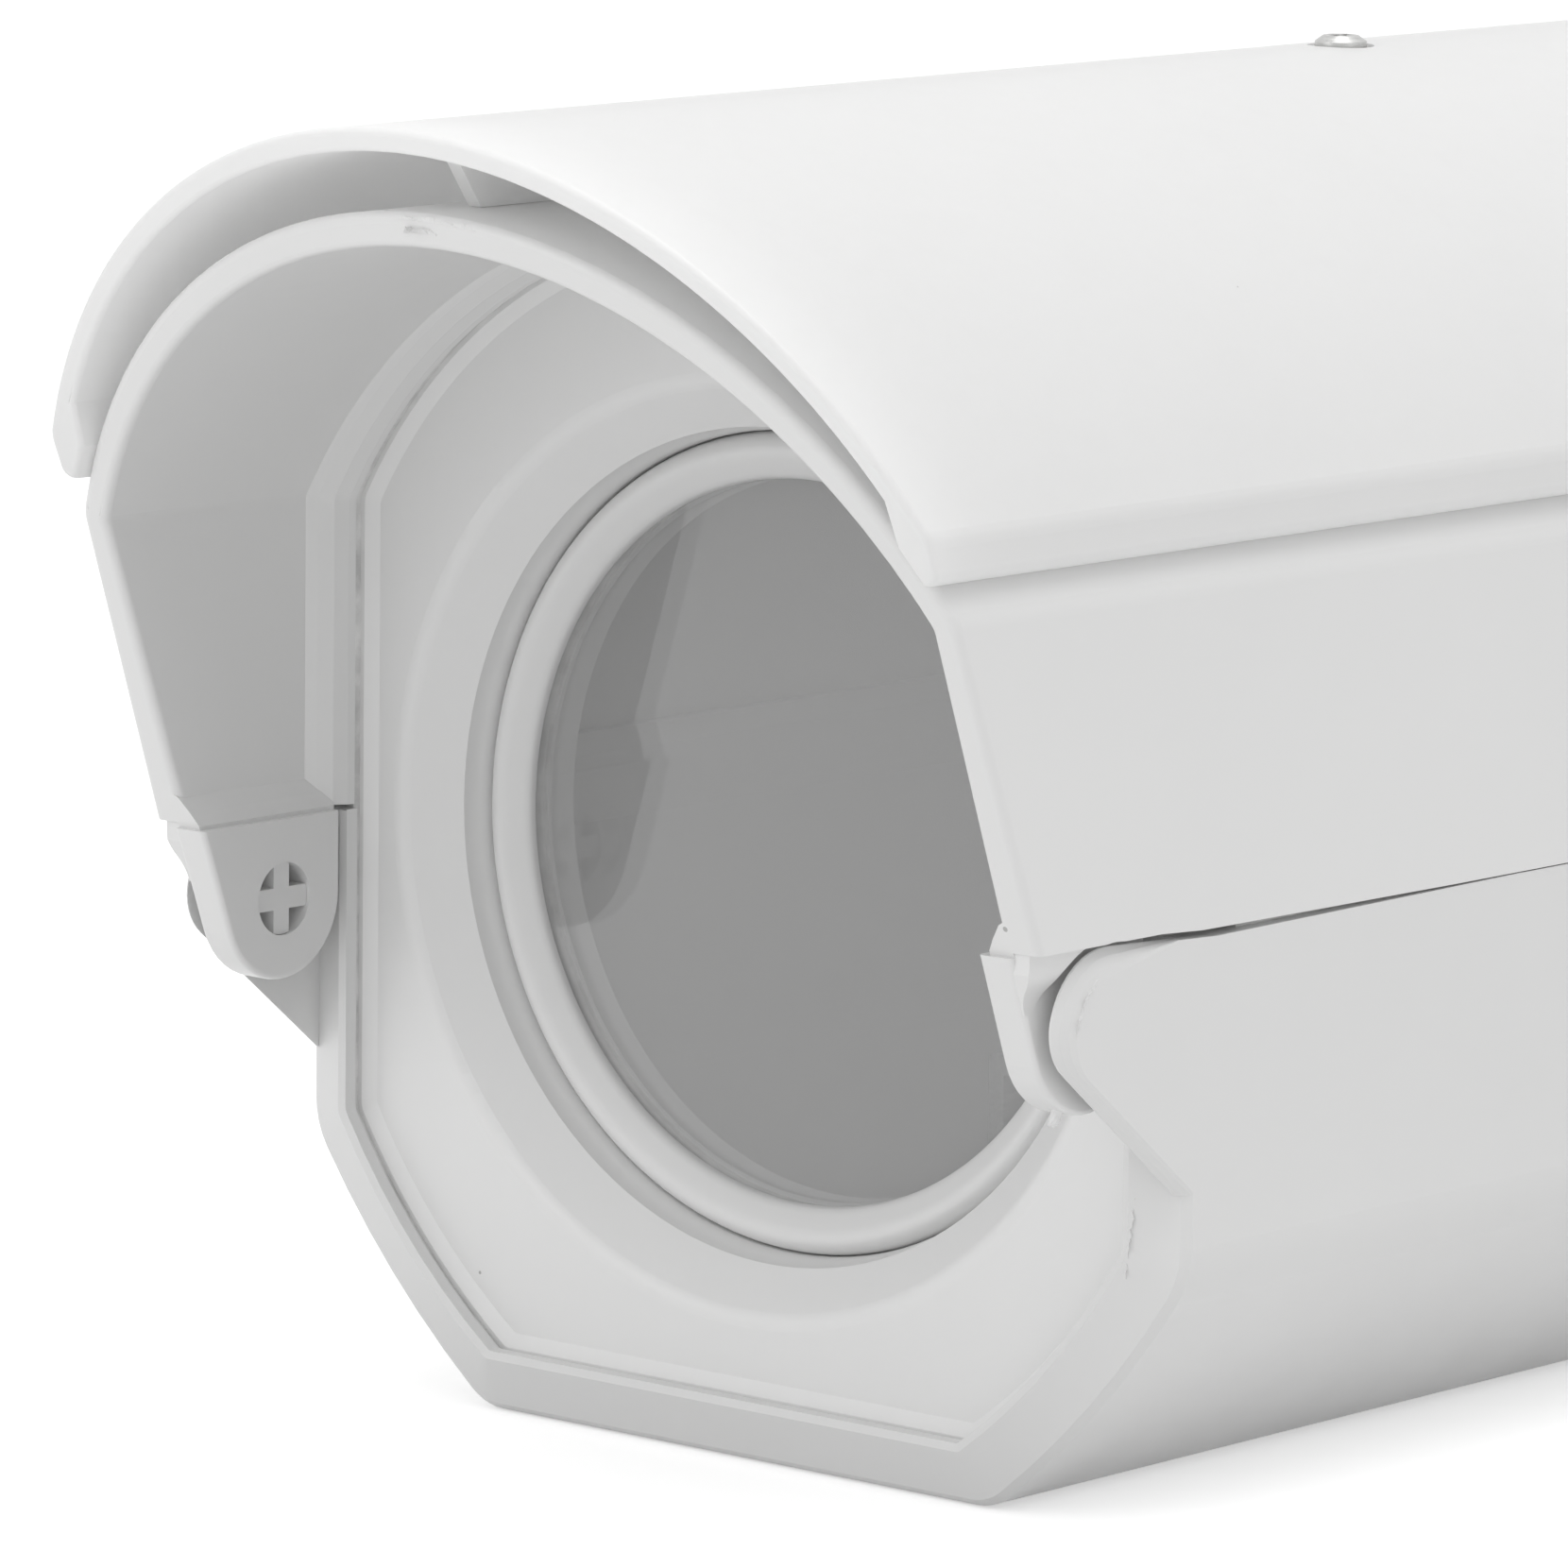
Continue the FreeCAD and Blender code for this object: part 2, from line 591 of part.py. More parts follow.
def window_glass():
    return rod_y(0, AXIS_Z, GLASS_Y, GLASS_Y + GLASS_T, GLASS_R)


def window_gasket():
    back = GLASS_Y + GLASS_T
    return ring_y(VIEW_R + 0.5, GLASS_R, back, back + GASKET_T)


def window_retaining_ring():
    crest = GLASS_Y - RING_CREST
    return turned([(VIEW_R, GLASS_Y), (VIEW_R, GLASS_Y - RING_LIP), (RING_R - RING_ROLL, crest),
                   (RING_R - 0.3 * RING_ROLL, GLASS_Y - 0.75 * RING_CREST, 0),
                   (RING_R, GLASS_Y - RING_SUNK), (RING_R, GLASS_Y), (VIEW_R, GLASS_Y)])


def plate_seal():
    outer = prism_y(window_section(PLATE_HALF), RIM_BACK, BORDER)
    return outer.cut(prism_y(window_section(PLATE_HALF - SEAL_W), RIM_BACK - 1, BORDER + 1))


def lid_gasket():
    return strip_body(0)


# Upper shell


def ear():
    """Hinge ear at the right, hanging from the visor's side."""
    rear = PIVOT_Y + EAR_R
    top = EAR_TOP + 1.0
    outline = [(rear, PIVOT_Z), (rear, top), (raked(EAR_PROUD, top), top), polar(200, EAR_R),
               (PIVOT_Y, PIVOT_Z - EAR_R, 0), (rear, PIVOT_Z)]
    plate = prism_x(outline, EAR_IN, EAR_OUT)
    faces = (EAR_IN, EAR_OUT)
    plate = rounded(plate, EAR_EDGE_R, lambda at: at.x in faces and at.z < top - 0.01)
    return plate.cut(box(0, FAR, -FAR, FAR, EAR_TOP, FAR))


def behind(ahead, y1):
    """Block behind the leaning plane that stands ahead of the visor's edge."""
    return prism_x([(raked(ahead, 0), 0), (raked(ahead, FAR), FAR), (y1, FAR), (y1, 0),
                    (raked(ahead, 0), 0)], -FAR, FAR)


def ear_root():
    """Bevel and shoulder that carry the right ear on the visor's side."""
    wall = INNER_HALF + 1.0
    step = EAR_IN + EAR_BEVEL
    bevel = prism_y([(step, EAR_TOP), (wall, EAR_TOP), (wall, EAR_TOP + 3.7),
                     (INNER_HALF, EAR_TOP + 3.15), (step + 0.8, EAR_TOP + 1.7),
                     (step, EAR_TOP + 0.4), (step, EAR_TOP)], raked(2, LIFT_Z), PIVOT_Y + EAR_R)
    inside = EAR_OUT - 1.0
    top = LIFT_Z + 0.1
    low = LIFT_Z - ROOT_DROP
    turn = (EAR_OUT + CHEEK_IN) / 2
    shoulder = prism_y([(inside, low), (EAR_OUT, low), (EAR_OUT + 0.2, low + 1.4, 0),
                        (turn, low + 2.6), (CHEEK_IN - 0.2, low + 3.8, 0), (CHEEK_IN, low + 5.2),
                        (CHEEK_IN, top), (inside, top), (inside, low)], raked(2, low), PIVOT_Y)
    shoulder = shoulder.common(behind(SHOULDER_PROUD, PIVOT_Y))
    return bevel.common(behind(0, REAR_Y)).fuse(shoulder)


def bead():
    """Roll inside the visor that covers the plate's upper edge."""
    roll = prism_y(upper_section(LID_Z), GLASS_Y - BEAD_SHAPE[0][0], GLASS_Y - BEAD_END)
    throat = loft_y([(GLASS_Y - ahead, parallel_section(BASE_HALF - inset, 0))
                     for ahead, inset in BEAD_SHAPE])
    return roll.cut(throat)


def visor_and_roof():
    """The arched shell with its leaning, rounded front edge and its stepped lower edge."""
    front = raked(0, CROWN_Z) - 5
    body = prism_y(upper_section(LID_Z), front, REAR_Y - REAR_SHAPE[0][0])
    body = body.fuse(loft_y([(REAR_Y - ahead, upper_section(LID_Z, inset))
                             for ahead, inset in REAR_SHAPE]))
    body = body.cut(prism_y(inner_section(0), front - 1, REAR_Y - BASE_WALL))
    body = body.common(behind(0, REAR_Y + 1))
    body = rounded(body, VISOR_LIP_R, lambda at: abs(at.y - raked(0, at.z)) < 0.01
                   and at.z > LID_Z + 0.01)
    foot = [(-FAR, 0)] + [(-FAR, LIFT_Z)] + list(LID_FOOT) + [(LID_FOOT[-1][0], 0), (-FAR, 0)]
    return body.fuse(bead()).cut(prism_x(foot, -FAR, FAR))


def upper_shell():
    body = visor_and_roof().fuse(both_sides(ear_root()))
    body = body.cut(both_sides(rod_x(PIVOT_Y, PIVOT_Z, EAR_OUT, FAR, NOSE_CLEAR)))
    for y in SCREW_YS:
        body = body.fuse(rod_z(0, y, CEILING_Z - CREST_BOSS_H, SHIELD_Z + SHIELD_R - SHIELD_T - 0.1,
                               CREST_BOSS_R))
    body = body.fuse(both_sides(ear()) + both_sides(lug(LID_Z, LID_Z + LUG_HIGH)))
    body = body.cut(both_sides(rod_x(PIVOT_Y, PIVOT_Z, EAR_IN - 1, FAR, HOLE_R)))
    inner_lug = box(LUG_X - LUG_R - 1, LUG_X + LUG_R + 1, REAR_Y - BASE_WALL - 3,
                    REAR_Y - BASE_WALL, LID_Z, LID_Z + LUG_HIGH)
    body = body.cut(both_sides(inner_lug))
    holes = [rod_z(0, y, CEILING_Z - 2, FAR, SCREW_R) for y in SCREW_YS]
    for x in (-LUG_X, LUG_X):
        holes.append(rod_z(x, REAR_Y + LUG_OUT, 0, FAR, CLOSE_HOLE_R))
    return body.cut(holes).removeSplitter()


# Sunshield


def shield_section():
    rise = math.sqrt(SHIELD_R * SHIELD_R - SHIELD_HALF * SHIELD_HALF)
    crease = SHIELD_Z + rise
    inner = SHIELD_FOOT_IN
    inner_r = SHIELD_R - SHIELD_T
    heel_x = SHIELD_HALF - SHIELD_HEEL_T
    heel_z = SHIELD_FOOT_Z + SHIELD_HEEL_H
    start_x = heel_x - 0.4
    start_z = SHIELD_Z + math.sqrt(inner_r * inner_r - start_x * start_x)
    foot_x = SHIELD_HALF - 0.3
    return [(inner, SHIELD_FOOT_Z), (foot_x, SHIELD_FOOT_Z), (SHIELD_HALF, crease),
            (0, SHIELD_Z + SHIELD_R, 0), (-SHIELD_HALF, crease), (-foot_x, SHIELD_FOOT_Z),
            (-inner, SHIELD_FOOT_Z), (-heel_x, heel_z), (-start_x, start_z),
            (0, SHIELD_Z + inner_r, 0), (start_x, start_z), (heel_x, heel_z),
            (inner, SHIELD_FOOT_Z)]


def sunshield():
    top = SHIELD_Z + SHIELD_R
    front = raked(SHIELD_AHEAD, top) - 5
    rear = REAR_Y - SHIELD_END
    body = prism_y(shield_section(), front, rear)
    body = rounded(body, SHIELD_FOOT_R, lambda at: abs(at.x) > SHIELD_HALF - 0.4
                   and at.z < SHIELD_FOOT_Z + 0.01)
    body = rounded(body, SHIELD_CREASE_R, lambda at: abs(abs(at.x) - SHIELD_HALF) < 0.01
                   and at.z > SHIELD_FOOT_Z + 3)
    body = body.common(behind(SHIELD_AHEAD, rear))
    body = rounded(body, SHIELD_LIP_R, lambda at: abs(at.y - raked(SHIELD_AHEAD, at.z)) < 0.01)
    rib_front = GLASS_Y + SHIELD_RIB_Y
    rib = prism_x([(rib_front, CROWN_Z + 0.05), (rib_front - 5.0, top - 1), (rear, top - 1),
                   (rear, CROWN_Z + 0.05), (rib_front, CROWN_Z + 0.05)],
                  -SHIELD_RIB_T / 2, SHIELD_RIB_T / 2)
    for y in SCREW_YS:
        rib = rib.cut(rod_z(0, y, 0, FAR, CREST_BOSS_R + 0.3))
    body = body.fuse(rib)
    for y in SCREW_YS:
        body = body.cut(rod_z(0, y, top - DIMPLE_DEEP, FAR, DIMPLE_R))
        body = body.cut(rod_z(0, y, 0, FAR, SCREW_R + 0.3))
    return body.removeSplitter()


def sunshield_screws():
    seat = SHIELD_Z + SHIELD_R - DIMPLE_DEEP + SCREW_WASHER_T
    solids = []
    for y in SCREW_YS:
        shaft = rod_z(0, y, CEILING_Z - 1.5, seat + 0.5, SCREW_R)
        head = bevelled_head(0, y, seat, seat + SCREW_HEAD_H, SCREW_HEAD_R, 0.6)
        recess = box(-1.6, 1.6, y - 0.4, y + 0.4, seat + 0.7, FAR)
        cross = box(-0.4, 0.4, y - 1.6, y + 1.6, seat + 0.7, FAR)
        solids.append(shaft.fuse(head).cut([recess, cross]).removeSplitter())
    return Part.makeCompound(solids)


def sunshield_washers():
    seat = SHIELD_Z + SHIELD_R - DIMPLE_DEEP
    return Part.makeCompound([rod_z(0, y, seat, seat + SCREW_WASHER_T, SCREW_HEAD_R + 0.5).cut(
        rod_z(0, y, 0, FAR, SCREW_R + 0.05)) for y in SCREW_YS])


# Closing screws and inserts


def closing_screws():
    seat = LID_Z + LUG_HIGH + WASHER_T
    solids = []
    for x in (-LUG_X, LUG_X):
        y = REAR_Y + LUG_OUT
        shaft = rod_z(x, y, SPLIT_Z - CLOSE_BITE, seat + 1, CLOSE_CORE_R)
        head = bevelled_head(x, y, seat, seat + CLOSE_HEAD_H, CLOSE_HEAD_R, 0.6)
        slot = box(x - 0.6, x + 0.6, y - 6, y + 6, seat + CLOSE_HEAD_H - 1.6, FAR)
        solids.append(shaft.fuse(head).cut(slot).removeSplitter())
    return Part.makeCompound(solids)


def closing_washers():
    seat = LID_Z + LUG_HIGH
    return Part.makeCompound([rod_z(x, REAR_Y + LUG_OUT, seat, seat + WASHER_T, CLOSE_HEAD_R + 0.6).cut(
        rod_z(x, REAR_Y + LUG_OUT, 0, FAR, CLOSE_CORE_R + 0.1)) for x in (-LUG_X, LUG_X)])


def insert(x, y, z0, z1, radius, bore):
    """Brass insert with a waist round its middle."""
    body = rod_z(x, y, z0, z1, radius)
    middle = (z0 + z1) / 2
    waist = rod_z(x, y, middle - 0.7, middle + 0.7, radius + 1).cut(
        rod_z(x, y, middle - 0.7, middle + 0.7, radius - 0.5))
    return body.cut([waist, rod_z(x, y, z0 - 1, z1 + 1, bore)])


def closing_inserts():
    return Part.makeCompound([insert(x, REAR_Y + LUG_OUT, SPLIT_Z - INSERT_L, SPLIT_Z, INSERT_R,
                                     INSERT_BORE) for x in (-LUG_X, LUG_X)])


def bracket_inserts():
    return Part.makeCompound([insert(0, y, 0, BRACKET_L, BRACKET_R, BRACKET_BORE)
                              for y in BRACKET_YS])


def tray_lock_insert():
    return insert(0, LOCK_Y, LOCK_BOSS_TOP - INSERT_L, LOCK_BOSS_TOP, INSERT_R, INSERT_BORE)


# Camera tray


def tray_section():
    foot_top = TRAY_FOOT_Z + TRAY_T
    web = TRAY_HALF - TRAY_T
    return [(-TRAY_FOOT, TRAY_FOOT_Z), (-web, TRAY_FOOT_Z), (-web, TRAY_TOP_Z - TRAY_T),
            (web, TRAY_TOP_Z - TRAY_T), (web, TRAY_FOOT_Z), (TRAY_FOOT, TRAY_FOOT_Z),
            (TRAY_FOOT, foot_top), (TRAY_HALF, foot_top), (TRAY_HALF, TRAY_TOP_Z),
            (-TRAY_HALF, TRAY_TOP_Z), (-TRAY_HALF, foot_top), (-TRAY_FOOT, foot_top),
            (-TRAY_FOOT, TRAY_FOOT_Z)]


def slot(y0, y1, half):
    """Round-ended slot through the tray's top."""
    low = TRAY_TOP_Z - TRAY_T - 1
    high = TRAY_TOP_Z + 1
    body = box(-half, half, y0 + half, y1 - half, low, high)
    return body.fuse([rod_z(0, y0 + half, low, high, half), rod_z(0, y1 - half, low, high, half)])


def camera_tray():
    body = prism_y(tray_section(), TRAY_FRONT, TRAY_REAR)
    reach = LOCK_TRAVEL + LOCK_R + 0.5
    cuts = [slot(CAMERA_SLOT[0], CAMERA_SLOT[1], SLOT_HALF),
            slot(LOCK_Y - reach, LOCK_Y + reach, LOCK_R + 0.4)]
    return body.cut(cuts).removeSplitter()


def camera_screw():
    under = TRAY_TOP_Z - TRAY_T
    head = rod_z(0, CAMERA_Y, under - 4, under, 6.0)
    driver = box(-5.0, 5.0, CAMERA_Y - 0.6, CAMERA_Y + 0.6, under - 5, under - 2.6)
    stud = rod_z(0, CAMERA_Y, under - 1, STUD_TIP_Z, STUD_R)
    tip = Part.makeCone(STUD_R, STUD_R - 0.6, 0.6, Vector(0, CAMERA_Y, STUD_TIP_Z))
    stud = stud.fuse(tip)
    return head.fuse(stud).cut(driver).removeSplitter()


def camera_screw_washer():
    return rod_z(0, CAMERA_Y, TRAY_TOP_Z, TRAY_TOP_Z + 1.5, 7.5).cut(
        rod_z(0, CAMERA_Y, 0, FAR, STUD_R + 0.1))


def tray_lock_screw():
    seat = TRAY_TOP_Z + TRAY_FIT + WASHER_T
    knob = bevelled_head(0, LOCK_Y, seat, seat + KNOB_H, KNOB_R, 1.0)
    grips = []
    for step in range(12):
        turn = math.radians(30 * step)
        grips.append(rod_z(KNOB_R * math.cos(turn), LOCK_Y + KNOB_R * math.sin(turn), seat - 1,
                           seat + KNOB_H + 1, 0.9))
    shaft = rod_z(0, LOCK_Y, LOCK_BOSS_TOP - 7.0, seat + 1, LOCK_R)
    return knob.cut(grips).fuse(shaft).removeSplitter()


def tray_lock_washer():
    low = TRAY_TOP_Z + TRAY_FIT
    return rod_z(0, LOCK_Y, low, low + WASHER_T, KNOB_R - 1).cut(
        rod_z(0, LOCK_Y, 0, FAR, LOCK_R + 0.1))


# Cable glands


def gland_body(x):
    outside = REAR_Y + GLAND_RING_T
    tail = rod_y(x, GLAND_Z, REAR_Y - BASE_WALL - GLAND_TAIL, outside + 1, GLAND_R)
    flange_hex = hexagon_y(x, GLAND_Z, outside, outside + GLAND_FLANGE_T, GLAND_FLANGE_R)
    neck = rod_y(x, GLAND_Z, outside + GLAND_FLANGE_T - 1,
                 outside + GLAND_FLANGE_T + GLAND_NECK_L, GLAND_NECK_R)
    bore = rod_y(x, GLAND_Z, 0, FAR, GLAND_BORE)
    cup = rod_y(x, GLAND_Z, outside + GLAND_FLANGE_T, FAR, GLAND_NECK_R - 1.6)
    return tail.fuse([flange_hex, neck]).cut([bore, cup]).removeSplitter()


def gland_seal(x):
    start = REAR_Y + GLAND_RING_T + GLAND_FLANGE_T
    body = rod_y(x, GLAND_Z, start, start + GLAND_NECK_L + 1.5, GLAND_NECK_R - 1.65)
    return body.cut(rod_y(x, GLAND_Z, 0, FAR, CABLE_R))


def gland_cap(x):
    start = REAR_Y + GLAND_RING_T + GLAND_FLANGE_T + 0.6
    end = start + GLAND_CAP_L
    grip = hexagon_y(x, GLAND_Z, start, start + 9, GLAND_CAP_R)
    dome = Part.makeCone(GLAND_CAP_R - 1.6, CABLE_R + 3.6, GLAND_CAP_L - 8,
                         Vector(x, start + 8, GLAND_Z), Vector(0, 1, 0))
    hollow = rod_y(x, GLAND_Z, start - 1, start + GLAND_NECK_L - 0.5, GLAND_NECK_R + 0.1).fuse(
        rod_y(x, GLAND_Z, start, start + GLAND_NECK_L + 1.0, GLAND_NECK_R - 1.5))
    mouth = rod_y(x, GLAND_Z, start, end + 1, CABLE_R + 1.2)
    return grip.fuse(dome).cut([hollow, mouth]).removeSplitter()


def gland_locknut(x):
    front = REAR_Y - BASE_WALL - LOCKNUT_T
    nut = hexagon_y(x, GLAND_Z, front, front + LOCKNUT_T, LOCKNUT_R)
    return nut.cut(rod_y(x, GLAND_Z, 0, FAR, GLAND_R + 0.05))


def gland_ring(x):
    return ring_y(GLAND_R + 0.05, GLAND_R + 1.6, REAR_Y, REAR_Y + GLAND_RING_T, GLAND_Z, x)


def nodes():
    made = {
        "lower_shell": lower_shell(),
        "front_plate": front_plate(),
        "window_glass": window_glass(),
        "window_gasket": window_gasket(),
        "window_retaining_ring": window_retaining_ring(),
        "plate_seal": plate_seal(),
        "lid_gasket": lid_gasket(),
        "upper_shell": upper_shell(),
        "sunshield": sunshield(),
        "sunshield_screws": sunshield_screws(),
        "sunshield_washers": sunshield_washers(),
        "closing_screws": closing_screws(),
        "closing_washers": closing_washers(),
        "closing_inserts": closing_inserts(),
        "bracket_inserts": bracket_inserts(),
        "camera_tray": camera_tray(),
        "camera_screw": camera_screw(),
        "camera_screw_washer": camera_screw_washer(),
        "tray_lock_screw": tray_lock_screw(),
        "tray_lock_washer": tray_lock_washer(),
        "tray_lock_insert": tray_lock_insert(),
    }
    for side, x in (("left", -GLAND_X), ("right", GLAND_X)):
        made["gland_body_" + side] = gland_body(x)
        made["gland_seal_" + side] = gland_seal(x)
        made["gland_cap_" + side] = gland_cap(x)
        made["gland_locknut_" + side] = gland_locknut(x)
        made["gland_ring_" + side] = gland_ring(x)
    return made


def main():
    os.makedirs("parts", exist_ok=True)
    for name, shape in nodes().items():
        print(name, "solids", len(shape.Solids), "valid", shape.isValid(),
              "volume", round(shape.Volume, 1))
        shape.exportStep("parts/" + name + ".step")


main()
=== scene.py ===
import json
import math

import bpy
from bpy.props import FloatProperty, FloatVectorProperty, PointerProperty
from mathutils import Matrix, Vector, noise
from mathutils.bvhtree import BVHTree


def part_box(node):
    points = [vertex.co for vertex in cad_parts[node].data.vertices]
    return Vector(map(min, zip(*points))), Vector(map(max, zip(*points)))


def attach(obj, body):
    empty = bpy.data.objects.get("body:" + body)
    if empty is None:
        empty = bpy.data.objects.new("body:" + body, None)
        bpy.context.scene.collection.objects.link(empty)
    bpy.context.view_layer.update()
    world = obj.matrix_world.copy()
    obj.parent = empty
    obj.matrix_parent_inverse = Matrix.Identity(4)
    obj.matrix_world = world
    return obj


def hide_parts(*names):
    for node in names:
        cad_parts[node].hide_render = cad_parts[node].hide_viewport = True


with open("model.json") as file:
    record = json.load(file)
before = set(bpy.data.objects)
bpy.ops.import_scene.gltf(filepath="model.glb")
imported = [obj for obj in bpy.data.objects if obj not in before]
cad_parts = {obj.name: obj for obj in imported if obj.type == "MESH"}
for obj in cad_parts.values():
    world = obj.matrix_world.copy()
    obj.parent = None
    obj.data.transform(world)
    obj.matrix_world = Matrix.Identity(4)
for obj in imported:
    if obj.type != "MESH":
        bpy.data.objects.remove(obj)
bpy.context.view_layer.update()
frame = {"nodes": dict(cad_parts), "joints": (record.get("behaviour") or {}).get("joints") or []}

bl_info = {
    "name": "Camera housing",
    "version": (1, 0, 0),
    "blender": (4, 5, 0),
    "location": "3D View > Sidebar > Housing",
    "description": "Finishes and small moulded detail of an outdoor camera housing",
    "category": "Object",
}

MM = 0.001
nodes_of = frame["nodes"]

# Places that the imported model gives

GLASS_LOW, GLASS_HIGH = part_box("window_glass")
GLASS_FRONT = Vector((0.0, GLASS_LOW.y, (GLASS_LOW.z + GLASS_HIGH.z) / 2))
JOINTS = {joint["name"]: joint for joint in frame["joints"]}
HINGE = Vector(JOINTS["lid_hinge"]["pos_m"])

# Section of the window's ring in millimetres: in from its outer edge, and ahead of the glass

RING_CROWN = ((0.0, 0.0), (0.0, 0.5), (0.2, 1.15), (0.5, 1.75), (0.85, 2.2), (1.25, 2.5), (1.6, 2.6),
              (1.95, 2.57), (2.4, 2.4), (2.9, 2.08), (3.5, 1.62), (4.1, 1.18), (4.52, 0.84),
              (4.74, 0.42), (4.8, 0.0))

# Thread ridges: radius of the ridge's middle line, pitch, and how far the ridge stands out

BRACKET_THREAD = {"radius": 2.55 * MM, "pitch": 1.0 * MM, "height": 0.16 * MM}
STUD_THREAD = {"radius": 3.08 * MM, "pitch": 1.27 * MM, "height": 0.14 * MM}
GLAND_THREAD = {"radius": 7.86 * MM, "pitch": 1.5 * MM, "height": 0.22 * MM}

# Lamps of the stage: place, point they aim at, and width, in metres

TOP_LAMP = {"place": (0.3, -0.1, 1.8), "aim": (0.0, 0.0, 0.1), "size": 1.8}
FRONT_LAMP = {"place": (-0.35, -1.05, 0.55), "aim": (0.0, -0.13, 0.06), "size": 0.8}

# Colours of what lies in or on the finishes

SPECK = (0.16, 0.15, 0.14, 1.0)
DUST_ON_WHITE = (0.62, 0.61, 0.59, 1.0)
DUST_ON_RUBBER = (0.5, 0.49, 0.47, 1.0)
DUST_ON_NYLON = (0.55, 0.54, 0.52, 1.0)
DUST_ON_GLASS = (0.75, 0.75, 0.74, 1.0)

# Refraction of plastic and glass, and what is left of light that passes the glass or a thin wall

REFRACTION = 1.5
GLASS_PASSES = (0.66, 0.66, 0.66, 1.0)
WALL_PASSES = (0.96, 0.96, 0.96, 1.0)


# Sizes and colours that a user would change


class StageSettings(bpy.types.PropertyGroup):
    """Camera, floor and lights"""
    azimuth: FloatProperty(name="Azimuth", description="Camera's turn round the housing",
                           default=math.radians(40.886), subtype="ANGLE")
    elevation: FloatProperty(name="Elevation", description="Camera's height angle",
                             default=math.radians(8.859), subtype="ANGLE")
    roll: FloatProperty(name="Roll", description="Camera's tilt to one side",
                        default=math.radians(0.690), subtype="ANGLE")
    distance: FloatProperty(name="Distance", description="From the camera to the point it aims at",
                            default=0.993183, unit="LENGTH")
    aim_right: FloatProperty(name="Aim right", description="Aim beside the window's centre",
                             default=-0.002201, unit="LENGTH")
    aim_up: FloatProperty(name="Aim up", description="Aim above the window's centre",
                          default=0.005851, unit="LENGTH")
    lens: FloatProperty(name="Lens", description="Focal length", default=231.9, unit="CAMERA")
    floor: FloatVectorProperty(name="Floor", description="Colour of the floor", subtype="COLOR",
                               default=(0.75, 0.75, 0.75), size=3)
    floor_lift: FloatProperty(name="Floor lift", default=0.5,
                              description="Light added to the floor where the camera sees it")
    fill: FloatProperty(name="Fill light", description="Strength of the light from all sides",
                        default=0.70)
    top_light: FloatProperty(name="Top light", description="Power of the lamp above",
                             default=14.5, unit="POWER")
    front_light: FloatProperty(name="Front light", description="Power of the lamp in front",
                               default=2.0, unit="POWER")


class ShellSettings(bpy.types.PropertyGroup):
    """White moulded plastic of shells, plate, sunshield and ring"""
    white: FloatVectorProperty(name="White", description="Colour of the moulded shells",
                               subtype="COLOR", default=(0.80, 0.80, 0.797), size=3)
    roughness: FloatProperty(name="Roughness", description="How matt the shells are",
                             default=0.36, min=0.0, max=1.0, subtype="FACTOR")
    through: FloatProperty(name="Translucency",
                           description="Share of light that the thin sunshield lets through",
                           default=0.32, min=0.0, max=1.0, subtype="FACTOR")
    speck: FloatProperty(name="Specks", description="How dark the specks in the plastic are",
                         default=0.55, min=0.0, max=1.0, subtype="FACTOR")


class WindowSettings(bpy.types.PropertyGroup):
    """Window glass"""
    tint: FloatVectorProperty(name="Glass tint", description="Colour of the window glass",
                              subtype="COLOR", default=(0.96, 0.96, 0.96), size=3)
    smears: FloatProperty(name="Smears", description="How much the wiped glass scatters",
                          default=0.015, min=0.0, max=1.0, subtype="FACTOR")
    veil: FloatProperty(name="Veil", description="Share of light that the dusty glass sends back",
                        default=0.16, min=0.0, max=1.0, subtype="FACTOR")


class FittingSettings(bpy.types.PropertyGroup):
    """Colours of the metal, nylon and rubber pieces"""
    steel: FloatVectorProperty(name="Steel", description="Colour of screws and washers",
                               subtype="COLOR", default=(0.62, 0.62, 0.61), size=3)
    brass: FloatVectorProperty(name="Brass", description="Colour of the threaded inserts",
                               subtype="COLOR", default=(0.78, 0.58, 0.28), size=3)
    tray: FloatVectorProperty(name="Tray", description="Colour of the tray's bare sheet",
                              subtype="COLOR", default=(0.72, 0.73, 0.74), size=3)
    gland: FloatVectorProperty(name="Glands", description="Colour of the cable glands",
                               subtype="COLOR", default=(0.34, 0.34, 0.335), size=3)
    knob: FloatVectorProperty(name="Knob", description="Colour of the tray's lock knob",
                              subtype="COLOR", default=(0.03, 0.03, 0.031), size=3)
    rubber: FloatVectorProperty(name="Rubber", description="Colour of the black rubber parts",
                                subtype="COLOR", default=(0.025, 0.025, 0.026), size=3)
    seal: FloatVectorProperty(name="Plate seal", description="Colour of the seal round the plate",
                              subtype="COLOR", default=(0.60, 0.60, 0.595), size=3)
    strip: FloatVectorProperty(name="Pale strips",
                               description="Colour of the rubber behind the glass and in the lid",
                               subtype="COLOR", default=(0.78, 0.78, 0.77), size=3)


# Node helpers


